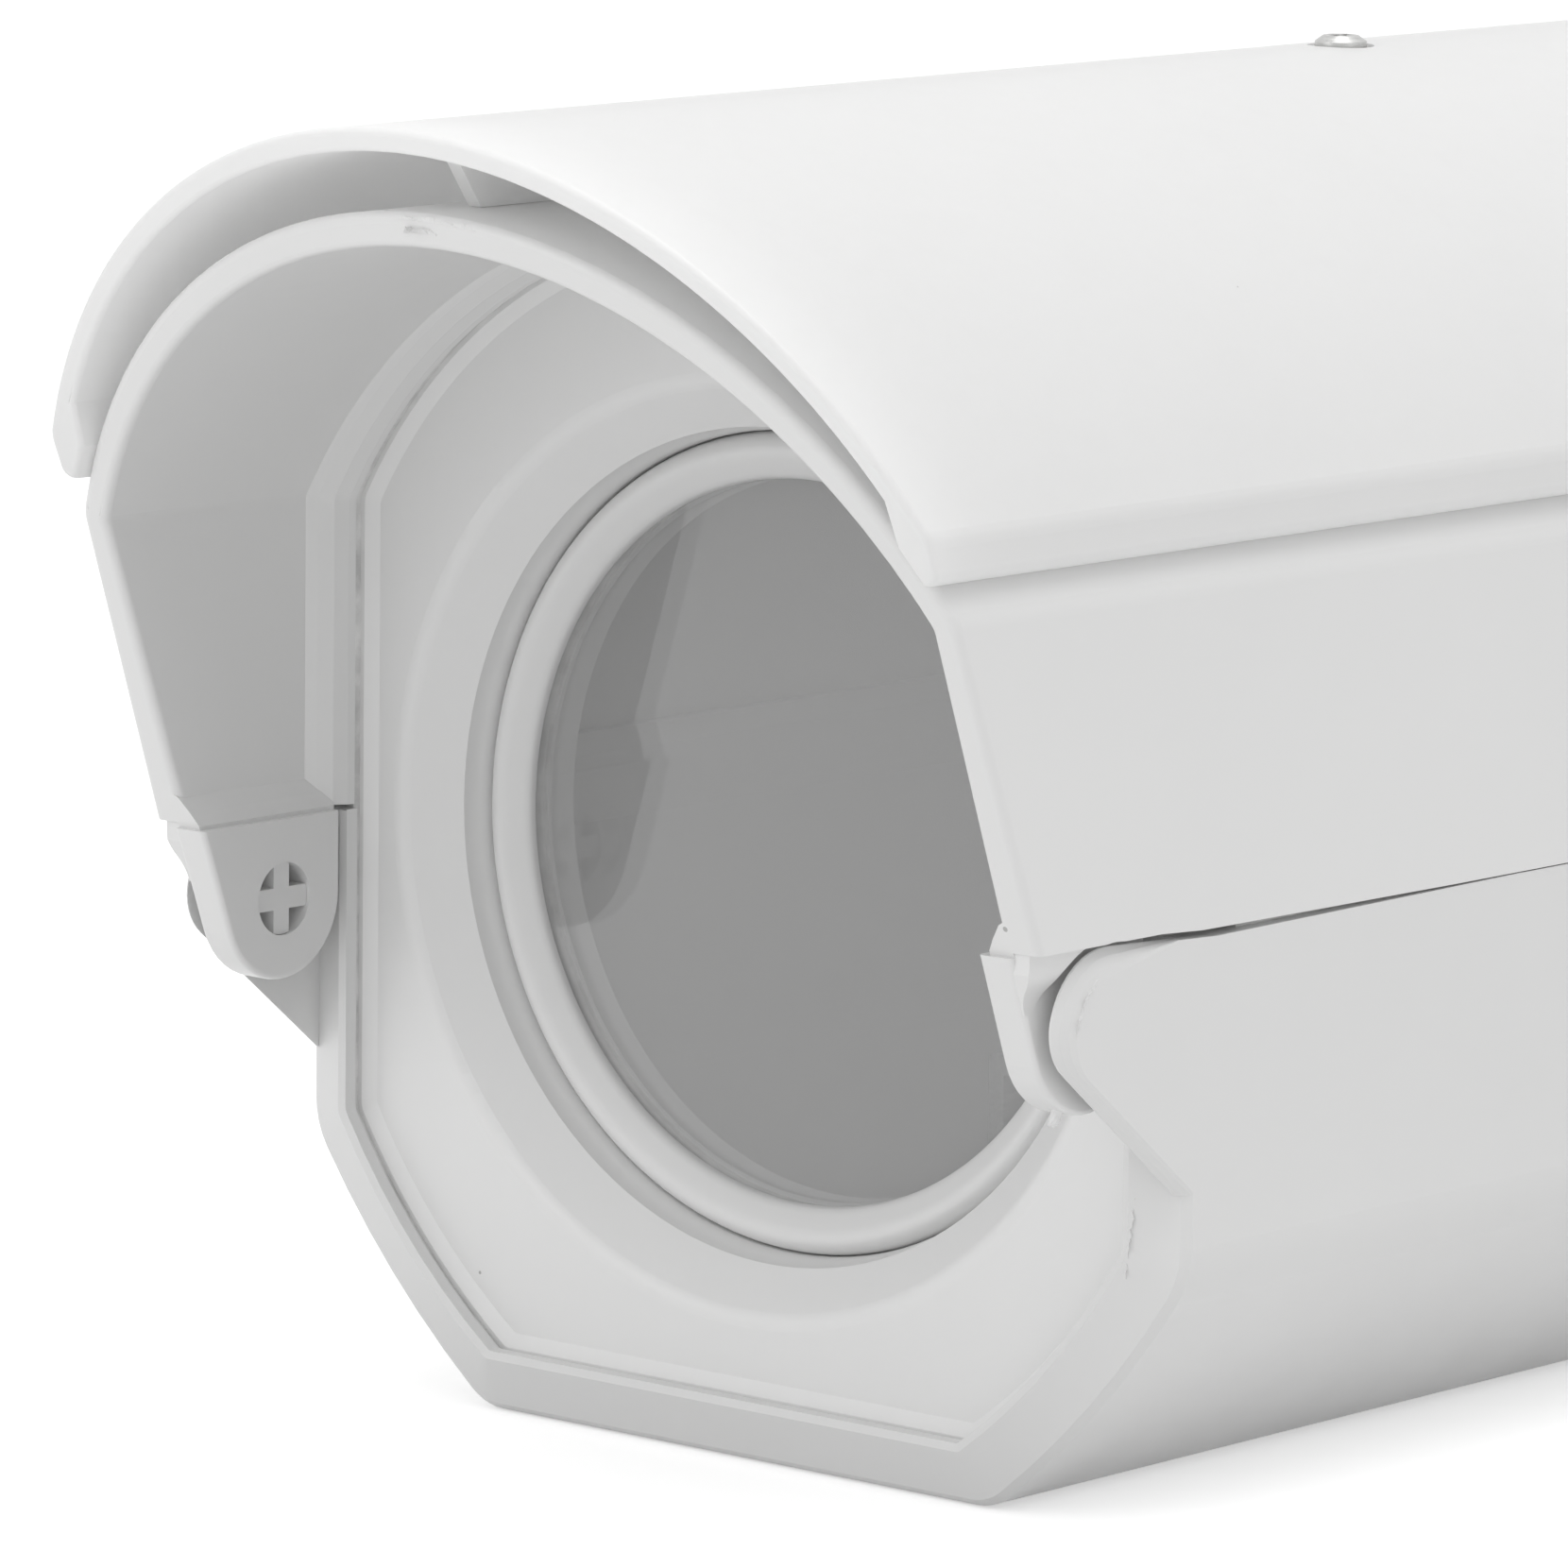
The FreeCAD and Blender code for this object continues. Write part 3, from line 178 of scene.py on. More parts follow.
class Tree:
    """Short ways to place nodes and link them in one node tree."""

    def __init__(self, tree):
        self.tree = tree

    def add(self, kind, inputs=(), **settings):
        node = self.tree.nodes.new(kind)
        for key, value in settings.items():
            setattr(node, key, value)
        for key, value in dict(inputs).items():
            self.feed(node.inputs[key], value)
        return node

    def feed(self, socket, value):
        """Links a socket to another, or sets its value."""
        if isinstance(value, bpy.types.NodeSocket):
            self.tree.links.new(value, socket)
        else:
            socket.default_value = value

    def math(self, operation, first, second=0.0, clamp=False):
        """One operation on two values. clamp holds the result between nought and one."""
        node = self.add("ShaderNodeMath", {0: first, 1: second}, operation=operation)
        node.use_clamp = clamp
        return node.outputs[0]

    def mix(self, amount, first, second):
        """Mixes two colours, whose sockets have the numbers 6 and 7 in a Mix node."""
        node = self.add("ShaderNodeMix", data_type="RGBA")
        self.feed(node.inputs[0], amount)
        self.feed(node.inputs[6], first)
        self.feed(node.inputs[7], second)
        return node.outputs[2]

    def spread(self, value, low, high, to_low=0.0, to_high=1.0):
        """Maps low to to_low and high to to_high, and holds what lies beyond."""
        node = self.add("ShaderNodeMapRange", {"Value": value, "From Min": low, "From Max": high,
                                               "To Min": to_low, "To Max": to_high})
        return node.outputs["Result"]

    def noise(self, where, scale, detail=3.0, roughness=0.5):
        """Cloudy noise, with scale in waves for each metre of the place."""
        node = self.add("ShaderNodeTexNoise", {"Vector": where, "Scale": scale, "Detail": detail,
                                               "Roughness": roughness})
        return node.outputs["Fac"]

    def stretch(self, where, factors):
        """Scales a place by its own factor in X, Y and Z."""
        node = self.add("ShaderNodeVectorMath", {0: where, 1: factors}, operation="MULTIPLY")
        return node.outputs["Vector"]

    def place(self):
        """Where a point lies on its own piece, in metres."""
        return self.add("ShaderNodeTexCoord").outputs["Object"]

    def bump(self, height, strength, distance, normal=None):
        """Normal tilted by a height, on top of another normal if one is given."""
        node = self.add("ShaderNodeBump", {"Height": height, "Strength": strength,
                                           "Distance": distance})
        if normal is not None:
            self.feed(node.inputs["Normal"], normal)
        return node.outputs["Normal"]


def new_group(name, inputs, outputs):
    """A node group with float inputs (name, default) and outputs (name, kind)."""
    group = bpy.data.node_groups.new(name, "ShaderNodeTree")
    for label, default in inputs:
        socket = group.interface.new_socket(label, in_out="INPUT", socket_type="NodeSocketFloat")
        socket.default_value = default
    for label, kind in outputs:
        group.interface.new_socket(label, in_out="OUTPUT", socket_type="NodeSocket" + kind)
    tree = Tree(group)
    return tree, tree.add("NodeGroupInput").outputs, tree.add("NodeGroupOutput").inputs


def use(tree, effect, **values):
    """Places an effect's node group, which is built the first time, and sets its inputs.

    The group is named after the effect's function. Spaces in its inputs are underscores here.
    """
    name = effect.__name__.replace("_", " ").capitalize()
    if name not in bpy.data.node_groups:
        effect(name)
    node = tree.add("ShaderNodeGroup", node_tree=bpy.data.node_groups[name])
    for key, value in values.items():
        tree.feed(node.inputs[key.replace("_", " ")], value)
    return node.outputs


# Effects that the finishes share, each a node group


def soft_edges(name):
    """Normal that rounds off sharp edges, and a mask of those edges."""
    tree, given, out = new_group(name, [("Radius", 0.0004)],
                                 [("Normal", "Vector"), ("Edge", "Float")])
    bevel = tree.add("ShaderNodeBevel", {"Radius": given["Radius"]}, samples=4)
    flat = tree.add("ShaderNodeNewGeometry").outputs["Normal"]
    turn = tree.add("ShaderNodeVectorMath", {0: bevel.outputs[0], 1: flat},
                    operation="DOT_PRODUCT").outputs["Value"]
    tree.feed(out["Normal"], bevel.outputs[0])
    tree.feed(out["Edge"], tree.spread(turn, 0.99, 0.75))


def moulded_skin(name):
    """Fine spark-eroded grain and slow waviness of a moulding, with cloudy shade and gloss."""
    tree, given, out = new_group(name, [("Grain size", 0.35), ("Waviness", 1.0)],
                                 [("Height", "Float"), ("Shade", "Float"), ("Gloss", "Float")])
    where = tree.place()
    per_metre = tree.math("DIVIDE", 1000.0, given["Grain size"])
    grain = tree.noise(where, per_metre, 1.0, 0.6)
    waves = tree.math("MULTIPLY", tree.noise(where, 55.0, 1.0, 0.4), given["Waviness"])
    clouds = tree.noise(where, 22.0, 2.0, 0.55)
    polish = tree.noise(where, 140.0, 3.0, 0.65)
    tree.feed(out["Height"], tree.math("ADD", tree.math("MULTIPLY", grain, 0.012), waves))
    tree.feed(out["Shade"], tree.spread(clouds, 0.3, 0.7))
    tree.feed(out["Gloss"], tree.spread(polish, 0.3, 0.7))


def specks(name):
    """Small round specks that lie scattered, their size and spacing in millimetres."""
    tree, given, out = new_group(name, [("Spacing", 26.0), ("Size", 0.35)], [("Mask", "Float")])
    per_metre = tree.math("DIVIDE", 1000.0, given["Spacing"])
    cells = tree.add("ShaderNodeTexVoronoi", {"Vector": tree.place(), "Scale": per_metre})
    reach = tree.math("DIVIDE", given["Size"], given["Spacing"])
    tree.feed(out["Mask"], tree.math("LESS_THAN", cells.outputs["Distance"], reach))


def scuffs(name):
    """Long faint strokes from handling, in patches."""
    tree, given, out = new_group(name, [("Amount", 0.5)], [("Mask", "Float")])
    where = tree.place()
    slanted = tree.stretch(where, (900.0, 60.0, 420.0))
    strokes = tree.spread(tree.noise(slanted, 1.0, 1.0), 0.62, 0.74)
    patches = tree.spread(tree.noise(where, 38.0, 1.0), 0.52, 0.62)
    scuffed = tree.math("MULTIPLY", strokes, patches)
    tree.feed(out["Mask"], tree.math("MULTIPLY", scuffed, given["Amount"], clamp=True))


def settled_dust(name):
    """Faint dust on what faces up, thicker in patches."""
    tree, given, out = new_group(name, [("Amount", 0.3)], [("Mask", "Float")])
    coords = tree.add("ShaderNodeTexCoord").outputs
    up = tree.add("ShaderNodeSeparateXYZ", {0: coords["Normal"]}).outputs["Z"]
    facing = tree.spread(up, 0.2, 0.9)
    patches = tree.spread(tree.noise(coords["Object"], 260.0, 3.0, 0.7), 0.42, 0.75)
    dusty = tree.math("MULTIPLY", facing, patches)
    tree.feed(out["Mask"], tree.math("MULTIPLY", dusty, given["Amount"], clamp=True))


def turning_marks(name):
    """Fine rings or strokes that a tool leaves on bare metal, so many for each metre."""
    tree, given, out = new_group(name, [("Along X", 400.0), ("Along Y", 9000.0), ("Along Z", 400.0)],
                                 [("Height", "Float"), ("Shade", "Float")])
    factors = tree.add("ShaderNodeCombineXYZ", {"X": given["Along X"], "Y": given["Along Y"],
                                                "Z": given["Along Z"]}).outputs["Vector"]
    strokes = tree.noise(tree.stretch(tree.place(), factors), 1.0, 4.0, 0.6)
    tree.feed(out["Height"], strokes)
    tree.feed(out["Shade"], tree.spread(strokes, 0.35, 0.65))


# Finishes


def new_material(name):
    """A new material, its node tree and its shader."""
    material = bpy.data.materials.new(name)
    material.use_nodes = True
    return material, Tree(material.node_tree), material.node_tree.nodes["Principled BSDF"]


def coat(tree, shader, color, roughness, normal):
    """Feeds the three looks that every finish here varies over the surface."""
    tree.feed(shader.inputs["Base Color"], color)
    tree.feed(shader.inputs["Roughness"], roughness)
    tree.feed(shader.inputs["Normal"], normal)


def mix_surface(tree, amount, shader, other):
    """Mixes a second shader into what the material shows."""
    both = tree.add("ShaderNodeMixShader", {0: amount, 1: shader.outputs[0], 2: other.outputs[0]})
    tree.feed(tree.tree.nodes["Material Output"].inputs["Surface"], both.outputs[0])


def shaded(color, factor):
    """A colour made darker or paler by a factor, with full alpha."""
    return (color[0] * factor, color[1] * factor, color[2] * factor, 1.0)


def shell_plastic(name, tone, dust, through=0.0):
    """Satin white moulded plastic of one shell.

    tone makes its white paler or darker, so each piece carries painted light or painted shade on one
    shared white; through is the share of light a thin wall passes.
    """
    settings = bpy.context.scene.housing_shell
    material, tree, shader = new_material(name)
    skin = use(tree, moulded_skin, Grain_size=0.35, Waviness=1.0)
    dirt = use(tree, specks, Spacing=26.0, Size=0.28)["Mask"]
    lines = use(tree, scuffs, Amount=0.5)["Mask"]
    film = use(tree, settled_dust, Amount=dust)["Mask"]
    color = tree.mix(skin["Shade"], shaded(settings.white, tone * 0.985), shaded(settings.white, tone))
    color = tree.mix(film, color, DUST_ON_WHITE)
    color = tree.mix(tree.math("MULTIPLY", dirt, settings.speck), color, SPECK)
    rough = tree.spread(skin["Gloss"], 0.0, 1.0, settings.roughness - 0.04, settings.roughness + 0.05)
    rough = tree.math("ADD", rough, tree.math("MULTIPLY", film, 0.3))
    rough = tree.math("ADD", rough, tree.math("MULTIPLY", lines, 0.12))
    coat(tree, shader, color, rough, tree.bump(skin["Height"], 0.25, 0.12 * MM))
    shader.inputs["IOR"].default_value = REFRACTION
    if through:
        glow = tree.add("ShaderNodeBsdfTranslucent", {"Color": WALL_PASSES})
        mix_surface(tree, through, shader, glow)
    return material


def window_glass():
    """Clear glass with wiped smears and motes of dust, which lets lamp light straight through."""
    settings = bpy.context.scene.housing_window
    material, tree, shader = new_material("window glass, clear")
    where = tree.place()
    smear = tree.spread(tree.noise(where, 60.0, 4.0, 0.6), 0.45, 0.8)
    motes = use(tree, specks, Spacing=9.0, Size=0.12)["Mask"]
    rough = tree.math("ADD", tree.math("MULTIPLY", smear, settings.smears),
                      tree.math("MULTIPLY", motes, 0.35))
    color = tree.mix(motes, shaded(settings.tint, 1.0), DUST_ON_GLASS)
    coat(tree, shader, color, rough, tree.bump(tree.noise(where, 30.0, 2.0), 0.05, 0.1 * MM))
    shader.inputs["Transmission Weight"].default_value = 1.0 - settings.veil
    shader.inputs["IOR"].default_value = REFRACTION
    clear = tree.add("ShaderNodeBsdfTransparent", {"Color": GLASS_PASSES})
    path = tree.add("ShaderNodeLightPath").outputs
    unseen = tree.math("MAXIMUM", path["Is Shadow Ray"], path["Is Diffuse Ray"])
    mix_surface(tree, unseen, shader, clear)
    return material


def rubber(name, color, dust):
    """Soft matt rubber with a pale bloom."""
    material, tree, shader = new_material(name)
    where = tree.place()
    fine = tree.noise(where, 2600.0, 3.0, 0.6)
    bloom = tree.spread(tree.noise(where, 190.0, 5.0, 0.6), 0.4, 0.75)
    film = use(tree, settled_dust, Amount=dust)["Mask"]
    tone = tree.mix(bloom, shaded(color, 1.0), shaded(color, 1.5))
    coat(tree, shader, tree.mix(film, tone, DUST_ON_RUBBER), tree.spread(bloom, 0.0, 1.0, 0.62, 0.78),
         tree.bump(fine, 0.35, 0.08 * MM))
    return material


def bare_metal(name, color, roughness, along, worn):
    """Turned or rolled metal. along gives the strokes for each metre in X, Y and Z."""
    material, tree, shader = new_material(name)
    marks = use(tree, turning_marks, Along_X=along[0], Along_Y=along[1], Along_Z=along[2])
    edges = use(tree, soft_edges, Radius=0.15 * MM)
    stain = tree.spread(tree.noise(tree.place(), 210.0, 5.0, 0.65), 0.45, 0.8)
    tone = tree.mix(marks["Shade"], shaded(color, 0.86), shaded(color, 1.04))
    tone = tree.mix(tree.math("MULTIPLY", stain, worn), tone, shaded(color, 0.45))
    # Sharp edges are painted paler: a painted highlight along the edges
    tone = tree.mix(tree.math("MULTIPLY", edges["Edge"], 0.5), tone, shaded(color, 1.2))
    rough = tree.spread(marks["Shade"], 0.0, 1.0, roughness, roughness + 0.1)
    rough = tree.math("ADD", rough, tree.math("MULTIPLY", stain, 0.15))
    coat(tree, shader, tone, rough, tree.bump(marks["Height"], 0.3, 0.05 * MM, edges["Normal"]))
    shader.inputs["Metallic"].default_value = 1.0
    return material


def nylon(name, color, roughness):
    """Matt nylon with an even, slightly mottled skin."""
    material, tree, shader = new_material(name)
    skin = use(tree, moulded_skin, Grain_size=0.25, Waviness=0.5)
    edges = use(tree, soft_edges, Radius=0.3 * MM)
    film = use(tree, settled_dust, Amount=0.18)["Mask"]
    tone = tree.mix(skin["Shade"], shaded(color, 0.93), shaded(color, 1.05))
    # Sharp edges are painted paler: a painted highlight along the edges
    tone = tree.mix(tree.math("MULTIPLY", edges["Edge"], 0.35), tone, shaded(color, 1.5))
    rough = tree.spread(skin["Gloss"], 0.0, 1.0, roughness, roughness + 0.12)
    coat(tree, shader, tree.mix(film, tone, DUST_ON_NYLON), rough,
         tree.bump(skin["Height"], 0.4, 0.15 * MM, edges["Normal"]))
    return material


def finish_nodes(material, *names):
    """Gives CAD nodes a material in their own slots."""
    for name in names:
        for slot in nodes_of[name].material_slots:
            slot.material = material


def finish_of(name):
    """The material that a CAD node was given."""
    return nodes_of[name].material_slots[0].material


# Pieces made of curves and meshes


def put(name, data):
    """Puts a mesh, curve, lamp or camera in the scene as an object."""
    piece = bpy.data.objects.new(name, data)
    bpy.context.scene.collection.objects.link(piece)
    return piece


def put_mesh(name, vertices, faces, material):
    """Puts a mesh of given corners and faces in the scene."""
    mesh = bpy.data.meshes.new(name)
    mesh.from_pydata(vertices, [], faces)
    mesh.materials.append(material)
    return put(name, mesh)


def helix(name, centre, axis, start, length, thread):
    """A round wire wound about an axis through centre, as a curve. start is its place along."""
    steps = 14
    count = int(length / thread["pitch"] * steps)
    curve = bpy.data.curves.new(name, "CURVE")
    curve.dimensions = "3D"
    curve.bevel_depth = thread["height"]
    curve.bevel_resolution = 1
    curve.use_fill_caps = True
    spline = curve.splines.new("POLY")
    spline.points.add(count)
    sideways = axis.orthogonal().normalized()
    other = axis.cross(sideways)
    for index, point in enumerate(spline.points):
        turn = 2 * math.pi * index / steps
        out = (sideways * math.cos(turn) + other * math.sin(turn)) * thread["radius"]
        at = centre + axis * (start + length * index / count) + out
        point.co = (at.x, at.y, at.z, 1.0)
    return curve


def threaded_ridge(name, centre, axis, start, length, thread, material):
    """A thread's ridge, drawn as a helix and turned into a mesh."""
    path = name + "_path"
    holder = put(path, helix(path, centre, axis, start, length, thread))
    bpy.context.view_layer.update()
    drawn = holder.evaluated_get(bpy.context.evaluated_depsgraph_get())
    mesh = bpy.data.meshes.new_from_object(drawn)
    mesh.name = name
    mesh.materials.clear()
    mesh.materials.append(material)
    bpy.data.objects.remove(holder)
    return put(name, mesh)


def turned(name, profile, axis_height, sides, material):
    """A closed ring turned from (radius, y) points about an axis along Y."""
    vertices, faces = [], []
    count = len(profile)
    for side in range(sides):
        turn = 2 * math.pi * side / sides
        for radius, y in profile:
            vertices.append((radius * math.sin(turn), y, axis_height + radius * math.cos(turn)))
        here, there = side * count, (side + 1) % sides * count
        for index in range(count):
            ahead = (index + 1) % count
            faces.append((here + index, here + ahead, there + ahead, there + index))
    ring = put_mesh(name, vertices, faces, material)
    ring.data.shade_smooth()
    ring.data.set_sharp_from_angle(angle=math.radians(40))
    return ring


def touch(node, start, toward):
    """The point where a line from start first meets a CAD node."""
    tree = BVHTree.FromObject(nodes_of[node], bpy.context.evaluated_depsgraph_get())
    place = tree.ray_cast(start, toward)[0]
    if place is None:
        raise RuntimeError("nothing of %s lies there" % node)
    return place


def spaced(route, step):
    """Points along a route, about one step apart."""
    points = []
    for start, end in zip(route, route[1:]):
        count = max(1, round((end - start).length / step))
        points += [start.lerp(end, index / count) for index in range(count)]
    return points + [route[-1]]


def flash_fin(name, route, outward, height, thickness, material):
    """A ragged fin of flash left along a mould's parting line, its foot sunk in the surface."""
    step, sunk = 0.22 * MM, 0.12 * MM
    points = spaced(route, step)
    outward = outward.normalized()
    across = (route[-1] - route[0]).normalized().cross(outward)
    half = across.normalized() * thickness / 2
    vertices, faces = [], []
    for index, point in enumerate(points):
        taper = min(1.0, 6 * min(index, len(points) - 1 - index) / len(points))
        spot = point / MM
        ragged = 0.5 + noise.noise(spot * 0.9) + 0.5 * noise.noise(spot * 3.1)
        rise = max(0.04, ragged) * taper * height
        lean = noise.noise(spot * 1.7) * thickness
        foot = point - outward * sunk
        vertices += [foot - half, point + outward * rise + across * lean, foot + half]
        if index:
            here = 3 * index
            for first, second in ((0, 1), (1, 2), (2, 0)):
                faces.append((here - 3 + first, here + first, here + second, here - 3 + second))
    faces += [(2, 1, 0), tuple(len(vertices) - 3 + corner for corner in range(3))]
    return put_mesh(name, vertices, faces, material)


def gate_stub(name, foot, axis, radius, length, material):
    """The broken-off end of the gate through which a moulding was filled."""
    sides = 14
    sections = ((1.25, -0.3), (1.0, 0.12), (0.92, 0.5), (0.9, 0.86), (0.62, 1.0))
    sideways = axis.orthogonal().normalized()
    other = axis.cross(sideways)
    vertices, faces = [], []
    for wide, along in sections:
        for index in range(sides):
            turn = 2 * math.pi * index / sides
            out = sideways * math.cos(turn) + other * math.sin(turn)
            ragged = noise.noise(Vector((math.cos(turn), math.sin(turn), 3.0 * along)) * 1.6)
            reach = along * length * (1 + 0.35 * ragged * max(0.0, along))
            vertices.append(foot + out * radius * wide * (1 + 0.2 * ragged) + axis * reach)
    last = len(vertices) - sides
    for here in range(0, last, sides):
        there = here + sides
        for index in range(sides):
            ahead = (index + 1) % sides
            faces.append((here + index, here + ahead, there + ahead, there + index))
    faces += [tuple(reversed(range(sides))), tuple(range(last, last + sides))]
    return put_mesh(name, vertices, faces, material)


# Operators, one for each piece or group of like pieces


class HOUSING_OT_stage(bpy.types.Operator):
    """Floor, soft studio light and the camera"""
    bl_idname = "housing.stage"
    bl_label = "Stage"

    def execute(self, context):
        settings = context.scene.housing_stage
        self.make_floor(settings)
        self.make_world(settings)
        self.make_lamp("top_lamp", settings.top_light, **TOP_LAMP)
        self.make_lamp("front_lamp", settings.front_light, **FRONT_LAMP)
        self.make_camera(context.scene, settings)
        context.scene.view_settings.view_transform = "Standard"
        return {"FINISHED"}

    def seen(self, tree):
        """One where the camera, a glossy surface or glass looks at it, and nought elsewhere."""
        path = tree.add("ShaderNodeLightPath").outputs
        seen = tree.math("MAXIMUM", path["Is Camera Ray"], path["Is Glossy Ray"])
        return tree.math("MAXIMUM", seen, path["Is Transmission Ray"])

    def make_floor(self, settings):
        half, gap = 6.0, 0.2 * MM
        material, tree, shader = new_material("studio floor, pale")
        patches = tree.spread(tree.noise(tree.place(), 3.0, 3.0), 0.3, 0.7)
        tree.feed(shader.inputs["Base Color"], tree.mix(patches, shaded(settings.floor, 0.99),
                                                        shaded(settings.floor, 1.0)))
        tree.feed(shader.inputs["Roughness"], tree.spread(patches, 0.0, 1.0, 0.85, 0.95))
        lift = tree.math("MULTIPLY", self.seen(tree), settings.floor_lift)
        shader.inputs["Emission Color"].default_value = (1.0, 1.0, 1.0, 1.0)
        tree.feed(shader.inputs["Emission Strength"], lift)
        corners = [(-half, -half, 0), (half, -half, 0), (half, half, 0), (-half, half, 0)]
        floor = put_mesh("studio_floor", corners, [(0, 1, 2, 3)], material)
        floor.location.z = -gap

    def make_world(self, settings):
        world = bpy.data.worlds.new("studio")
        world.use_nodes = True
        bpy.context.scene.world = world
        tree = Tree(world.node_tree)
        background = world.node_tree.nodes["Background"]
        background.inputs["Color"].default_value = (1.0, 1.0, 1.0, 1.0)
        strength = tree.spread(self.seen(tree), 0.0, 1.0, settings.fill, 1.0)
        tree.feed(background.inputs["Strength"], strength)

    def make_lamp(self, name, power, place, aim, size):
        data = bpy.data.lights.new(name, "AREA")
        data.shape = "DISK"
        data.size = size
        data.energy = power
        lamp = put(name, data)
        lamp.location = place
        lamp.rotation_euler = (Vector(aim) - Vector(place)).to_track_quat("-Z", "Y").to_euler()

    def make_camera(self, scene, settings):
        away = Vector((math.sin(settings.azimuth) * math.cos(settings.elevation),
                       -math.cos(settings.azimuth) * math.cos(settings.elevation),
                       math.sin(settings.elevation)))
        level_right = (-away).cross(Vector((0, 0, 1))).normalized()
        level_up = level_right.cross(-away)
        right = math.cos(settings.roll) * level_right + math.sin(settings.roll) * level_up
        up = math.cos(settings.roll) * level_up - math.sin(settings.roll) * level_right
        aim = GLASS_FRONT + right * settings.aim_right + up * settings.aim_up
        data = bpy.data.cameras.new("camera")
        data.lens = settings.lens
        data.sensor_width = 36.0
        data.clip_start = 0.01
        data.clip_end = 50.0
        facing = Matrix((right, up, away)).transposed().to_4x4()
        camera = put("camera", data)
        camera.matrix_world = Matrix.Translation(aim + away * settings.distance) @ facing
        scene.camera = camera


class HOUSING_OT_lower_shell(bpy.types.Operator):
    """Finish of the trough with its rim, cheeks and pins"""
    bl_idname = "housing.lower_shell"
    bl_label = "Lower shell"

    def execute(self, context):
        # tone 0.965 paints the trough darker than the lid's white: painted shade
        white = shell_plastic("white moulded plastic, lower shell, painted darker", tone=0.965, dust=0.04)
        finish_nodes(white, "lower_shell")
        return {"FINISHED"}


class HOUSING_OT_upper_shell(bpy.types.Operator):
    """Finish of the lid with its visor and hinge ears"""
    bl_idname = "housing.upper_shell"
    bl_label = "Upper shell"

    def execute(self, context):
        white = shell_plastic("white moulded plastic, upper shell", tone=1.0, dust=0.05)
        finish_nodes(white, "upper_shell")
        return {"FINISHED"}


class HOUSING_OT_front_plate(bpy.types.Operator):
    """Finish of the window plate with its funnel"""
    bl_idname = "housing.front_plate"
    bl_label = "Front plate"

    def execute(self, context):
        # tone 1.05 paints the plate paler than the lid's white: painted light
        white = shell_plastic("white moulded plastic, front plate, painted lighter", tone=1.05, dust=0.03)
        finish_nodes(white, "front_plate")
        return {"FINISHED"}


class HOUSING_OT_sunshield(bpy.types.Operator):
    """Finish of the second roof, whose thin wall lets light through"""
    bl_idname = "housing.sunshield"
    bl_label = "Sunshield"

    def execute(self, context):
        # tone 1.18 paints the sunshield paler than the other shells of the same white: a painted lit
        # top, where light falls from above
        white = shell_plastic("white moulded plastic, sunshield, painted lighter", tone=1.18, dust=0.05,
                              through=context.scene.housing_shell.through)
        finish_nodes(white, "sunshield")
        return {"FINISHED"}


class HOUSING_OT_mould_marks(bpy.types.Operator):
    """Flash along parting lines and a gate's stub, as left on the mouldings"""
    bl_idname = "housing.mould_marks"
    bl_label = "Mould marks"

    def execute(self, context):
        self.ear_gate()
        self.lip_fin("visor_gate_flash", left=-2.8, right=7.4, above=74.3,
                     outward=(0, -0.5, 0.86), height=0.45, thickness=0.4)
        self.lip_fin("visor_gate_tear", left=-1.8, right=2.4, above=73.2,
                     outward=(0, -0.97, 0.2), height=0.9, thickness=0.55)
        self.side_fin("rim_flash", ((9.7, -17.3), (9.6, -19.9), (9.5, -22.5), (9.9, -26.3)),
                      outward=(0.8, -0.6, 0), height=0.45, thickness=0.3)
        self.side_fin("cheek_flash", ((-2.4, 5.6), (-4.2, 3.7), (-5.2, 1.9), (-5.6, 0.2)),
                      outward=(0.9, -0.45, 0), height=0.4, thickness=0.3)
        return {"FINISHED"}

    def keep(self, piece, body, slot):
        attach(piece, body)

    def ear_gate(self):
        """A stub under the right ear, straight out from the hinge's axis."""
        middle_of_ear = Vector((52.9, 0, 0)) * MM
        below = Vector((0, -3.2, -7.5)).normalized()
        foot = touch("upper_shell", HINGE + middle_of_ear + below * 20 * MM, -below)
        stub = gate_stub("ear_gate_stub", foot, below, radius=0.55 * MM, length=1.4 * MM,
                         material=finish_of("upper_shell"))
        self.keep(stub, "lid", "upper_shell")

    def lip_fin(self, name, left, right, above, outward, height, thickness):
        """A fin across the visor's lip, where a gate was torn off. above is the crown's height.

        Places are in millimetres from the hinge's axis, and the lip falls off to both sides.
        """
        lip_radius = 57
        route = []
        for index in range(9):
            x = left + (right - left) * index / 8
            ahead = Vector((x, -60, above - x * x / (2 * lip_radius))) * MM
            route.append(touch("upper_shell", HINGE + ahead, Vector((0, 1, 0))))
        fin = flash_fin(name, route, Vector(outward), height * MM, thickness * MM,
                        finish_of("upper_shell"))
        self.keep(fin, "lid", "upper_shell")

    def side_fin(self, name, places, outward, height, thickness):
        """A fin down the lower shell's right side, through (y, z) places as in lip_fin."""
        route = []
        for y, z in places:
            beside = Vector((80, y, z)) * MM
            route.append(touch("lower_shell", HINGE + beside, Vector((-1, 0, 0))))
        fin = flash_fin(name, route, Vector(outward), height * MM, thickness * MM,
                        finish_of("lower_shell"))
        self.keep(fin, "base", "lower_shell")


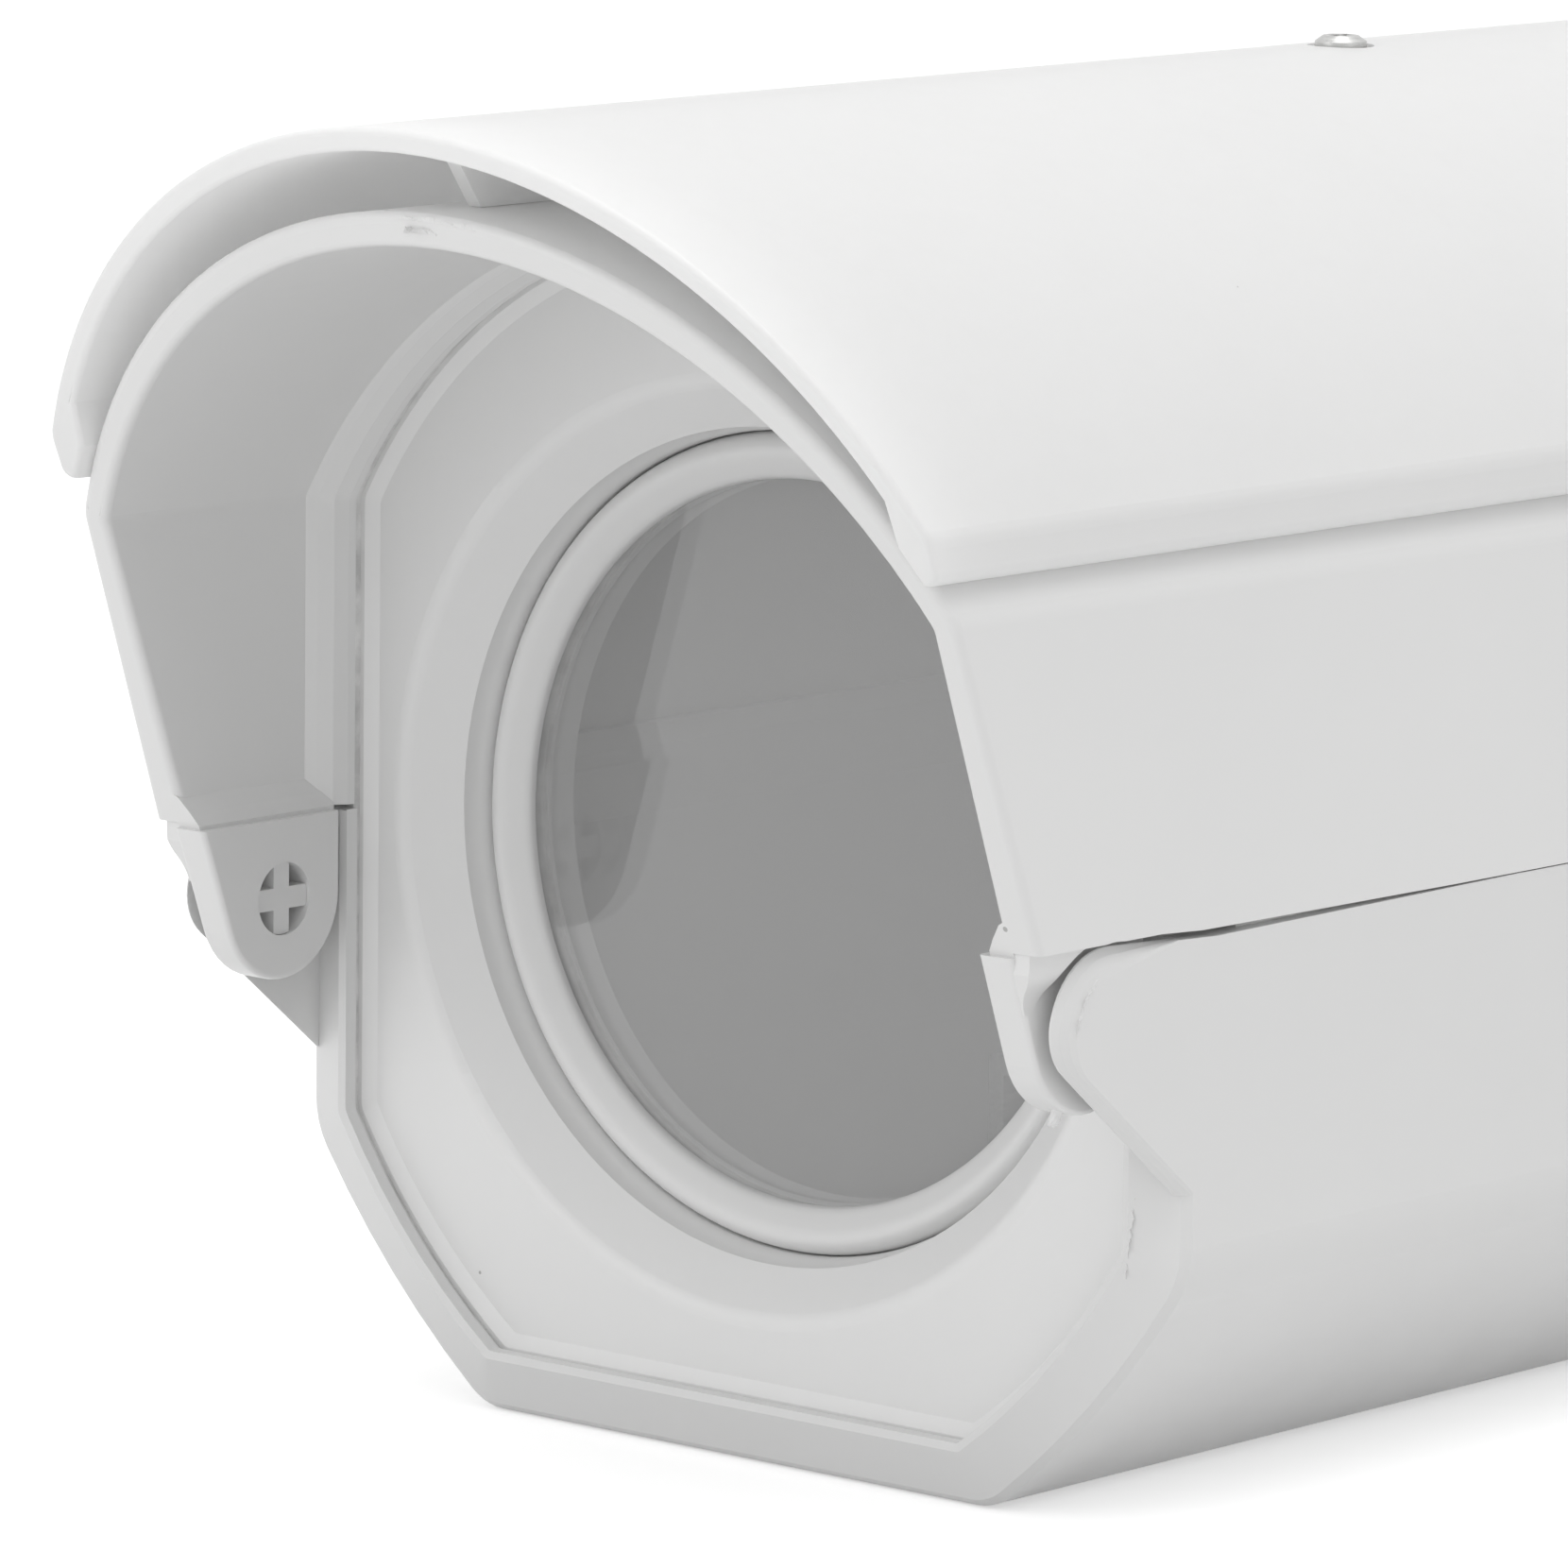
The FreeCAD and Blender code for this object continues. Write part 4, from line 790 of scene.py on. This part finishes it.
class HOUSING_OT_window(bpy.types.Operator):
    """Glass, its gasket and the ring that holds it"""
    bl_idname = "housing.window"
    bl_label = "Window"

    def execute(self, context):
        fittings = context.scene.housing_fittings
        finish_nodes(window_glass(), "window_glass")
        pale = rubber("pale rubber, window", fittings.strip, dust=0.02)
        finish_nodes(pale, "window_gasket")
        self.gasket(pale)
        # tone 0.97 paints the ring darker than the lid's white: painted shade
        white = shell_plastic("white moulded plastic, ring, painted darker", tone=0.97, dust=0.02)
        finish_nodes(white, "window_retaining_ring")
        self.retaining_ring(white)
        return {"FINISHED"}

    def retaining_ring(self, material):
        """The ring with its crown and both edges rolled over softly."""
        low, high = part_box("window_retaining_ring")
        outer = (high.x - low.x) / 2
        profile = [(outer - inward * MM, high.y - ahead * MM) for inward, ahead in RING_CROWN]
        ring = turned("window_ring_crowned", profile, axis_height=(low.z + high.z) / 2, sides=160,
                      material=material)
        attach(ring, "base")
        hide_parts("window_retaining_ring")

    def gasket(self, material):
        """The flat gasket a hair behind the glass, its inner edge broken."""
        width, hair, edge_in, edge_back = 3.5 * MM, 0.02 * MM, 0.3 * MM, 0.2 * MM
        low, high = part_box("window_gasket")
        outer = (high.x - low.x) / 2
        inner = outer - width
        front, back = low.y + hair, high.y
        profile = [(outer, front), (inner + edge_in, front), (inner, front + edge_back),
                   (inner, back), (outer, back)]
        gasket = turned("window_gasket_ring", profile, axis_height=(low.z + high.z) / 2, sides=96,
                        material=material)
        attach(gasket, "base")
        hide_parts("window_gasket")


class HOUSING_OT_seals(bpy.types.Operator):
    """Rubber seals of the plate and the lid"""
    bl_idname = "housing.seals"
    bl_label = "Seals"

    def execute(self, context):
        fittings = context.scene.housing_fittings
        finish_nodes(rubber("grey rubber, plate", fittings.seal, dust=0.05), "plate_seal")
        finish_nodes(rubber("pale rubber, lid", fittings.strip, dust=0.05), "lid_gasket")
        return {"FINISHED"}


class HOUSING_OT_screws(bpy.types.Operator):
    """Steel screws and washers of the sunshield, the lid and the tray"""
    bl_idname = "housing.screws"
    bl_label = "Screws"

    def execute(self, context):
        steel = context.scene.housing_fittings.steel
        turned_steel = bare_metal("stainless steel, turned", steel, roughness=0.26,
                                  along=(900, 900, 6000), worn=0.25)
        stamped_steel = bare_metal("stainless steel, stamped", steel, roughness=0.34,
                                   along=(2500, 700, 700), worn=0.2)
        finish_nodes(turned_steel, "sunshield_screws", "closing_screws", "camera_screw")
        finish_nodes(stamped_steel, "sunshield_washers", "closing_washers", "tray_lock_washer")
        return {"FINISHED"}


class HOUSING_OT_inserts(bpy.types.Operator):
    """Brass threaded inserts, with thread ridges in the two for the bracket"""
    bl_idname = "housing.inserts"
    bl_label = "Inserts"

    def execute(self, context):
        brass = bare_metal("brass, turned", context.scene.housing_fittings.brass, roughness=0.3,
                           along=(900, 900, 7000), worn=0.35)
        finish_nodes(brass, "bracket_inserts", "closing_inserts", "tray_lock_insert")
        low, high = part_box("bracket_inserts")
        radius = (high.x - low.x) / 2
        for name, y in (("front", low.y + radius), ("rear", high.y - radius)):
            thread = threaded_ridge("bracket_thread_" + name, Vector((0, y, 0)), Vector((0, 0, 1)),
                                    start=0.6 * MM, length=6.8 * MM, thread=BRACKET_THREAD,
                                    material=brass)
            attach(thread, "base")
        return {"FINISHED"}


class HOUSING_OT_tray(bpy.types.Operator):
    """Bent camera tray, with the camera screw's washer and thread ridge"""
    bl_idname = "housing.tray"
    bl_label = "Camera tray"

    def execute(self, context):
        fittings = context.scene.housing_fittings
        sheet = bare_metal("aluminium sheet, brushed", fittings.tray, roughness=0.36,
                           along=(4200, 260, 4200), worn=0.12)
        finish_nodes(sheet, "camera_tray")
        finish_nodes(rubber("black rubber, washer", fittings.rubber, dust=0.05),
                     "camera_screw_washer")
        low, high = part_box("camera_screw")
        centre = Vector(((low.x + high.x) / 2, (low.y + high.y) / 2, 0))
        thread = threaded_ridge("camera_stud_thread", centre, Vector((0, 0, 1)),
                                start=29.8 * MM, length=5.8 * MM, thread=STUD_THREAD,
                                material=finish_of("camera_screw"))
        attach(thread, "tray")
        return {"FINISHED"}


class HOUSING_OT_tray_lock(bpy.types.Operator):
    """Knob that locks the tray"""
    bl_idname = "housing.tray_lock"
    bl_label = "Tray lock"

    def execute(self, context):
        knob = context.scene.housing_fittings.knob
        finish_nodes(nylon("black nylon, knob", knob, roughness=0.45), "tray_lock_screw")
        return {"FINISHED"}


class HOUSING_OT_glands(bpy.types.Operator):
    """Cable glands in the rear wall, with thread ridges inside, ahead of the locknuts"""
    bl_idname = "housing.glands"
    bl_label = "Cable glands"

    def execute(self, context):
        fittings = context.scene.housing_fittings
        grey = nylon("light grey nylon, glands", fittings.gland, roughness=0.42)
        black = rubber("black rubber, glands", fittings.rubber, dust=0.05)
        for side in ("left", "right"):
            finish_nodes(grey, "gland_body_" + side, "gland_cap_" + side, "gland_locknut_" + side)
            finish_nodes(black, "gland_seal_" + side, "gland_ring_" + side)
            low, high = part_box("gland_body_" + side)
            nut_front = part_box("gland_locknut_" + side)[0].y
            centre = Vector(((low.x + high.x) / 2, 0, (low.z + high.z) / 2))
            thread = threaded_ridge("gland_thread_" + side, centre, Vector((0, 1, 0)),
                                    start=low.y + 0.3 * MM, length=nut_front - low.y - 0.5 * MM,
                                    thread=GLAND_THREAD, material=grey)
            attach(thread, "base")
        return {"FINISHED"}


# Panel, registration and the run as a script


class HOUSING_PT_panel(bpy.types.Panel):
    """Lists the stage, the pieces and their settings"""
    bl_idname = "HOUSING_PT_panel"
    bl_label = "Camera housing"
    bl_space_type = "VIEW_3D"
    bl_region_type = "UI"
    bl_category = "Housing"

    def draw(self, context):
        for operator in OPERATORS:
            self.layout.operator(operator.bl_idname)
        for name in SETTINGS:
            group = getattr(context.scene, name)
            box = self.layout.box()
            for key in group.bl_rna.properties.keys():
                if key not in ("rna_type", "name"):
                    box.prop(group, key)


SETTINGS = {
    "housing_stage": StageSettings,
    "housing_shell": ShellSettings,
    "housing_window": WindowSettings,
    "housing_fittings": FittingSettings,
}
OPERATORS = (
    HOUSING_OT_stage, HOUSING_OT_lower_shell, HOUSING_OT_upper_shell, HOUSING_OT_front_plate,
    HOUSING_OT_sunshield, HOUSING_OT_mould_marks, HOUSING_OT_window, HOUSING_OT_seals,
    HOUSING_OT_screws, HOUSING_OT_inserts, HOUSING_OT_tray, HOUSING_OT_tray_lock,
    HOUSING_OT_glands,
)
CLASSES = tuple(SETTINGS.values()) + OPERATORS + (HOUSING_PT_panel,)


def register():
    for cls in CLASSES:
        bpy.utils.register_class(cls)
    for name, cls in SETTINGS.items():
        setattr(bpy.types.Scene, name, PointerProperty(type=cls))


def unregister():
    for name in SETTINGS:
        delattr(bpy.types.Scene, name)
    for cls in reversed(CLASSES):
        bpy.utils.unregister_class(cls)


def main():
    register()
    for operator in OPERATORS:
        section, action = operator.bl_idname.split(".")
        getattr(getattr(bpy.ops, section), action)()


if __name__ == "__main__":
    main()
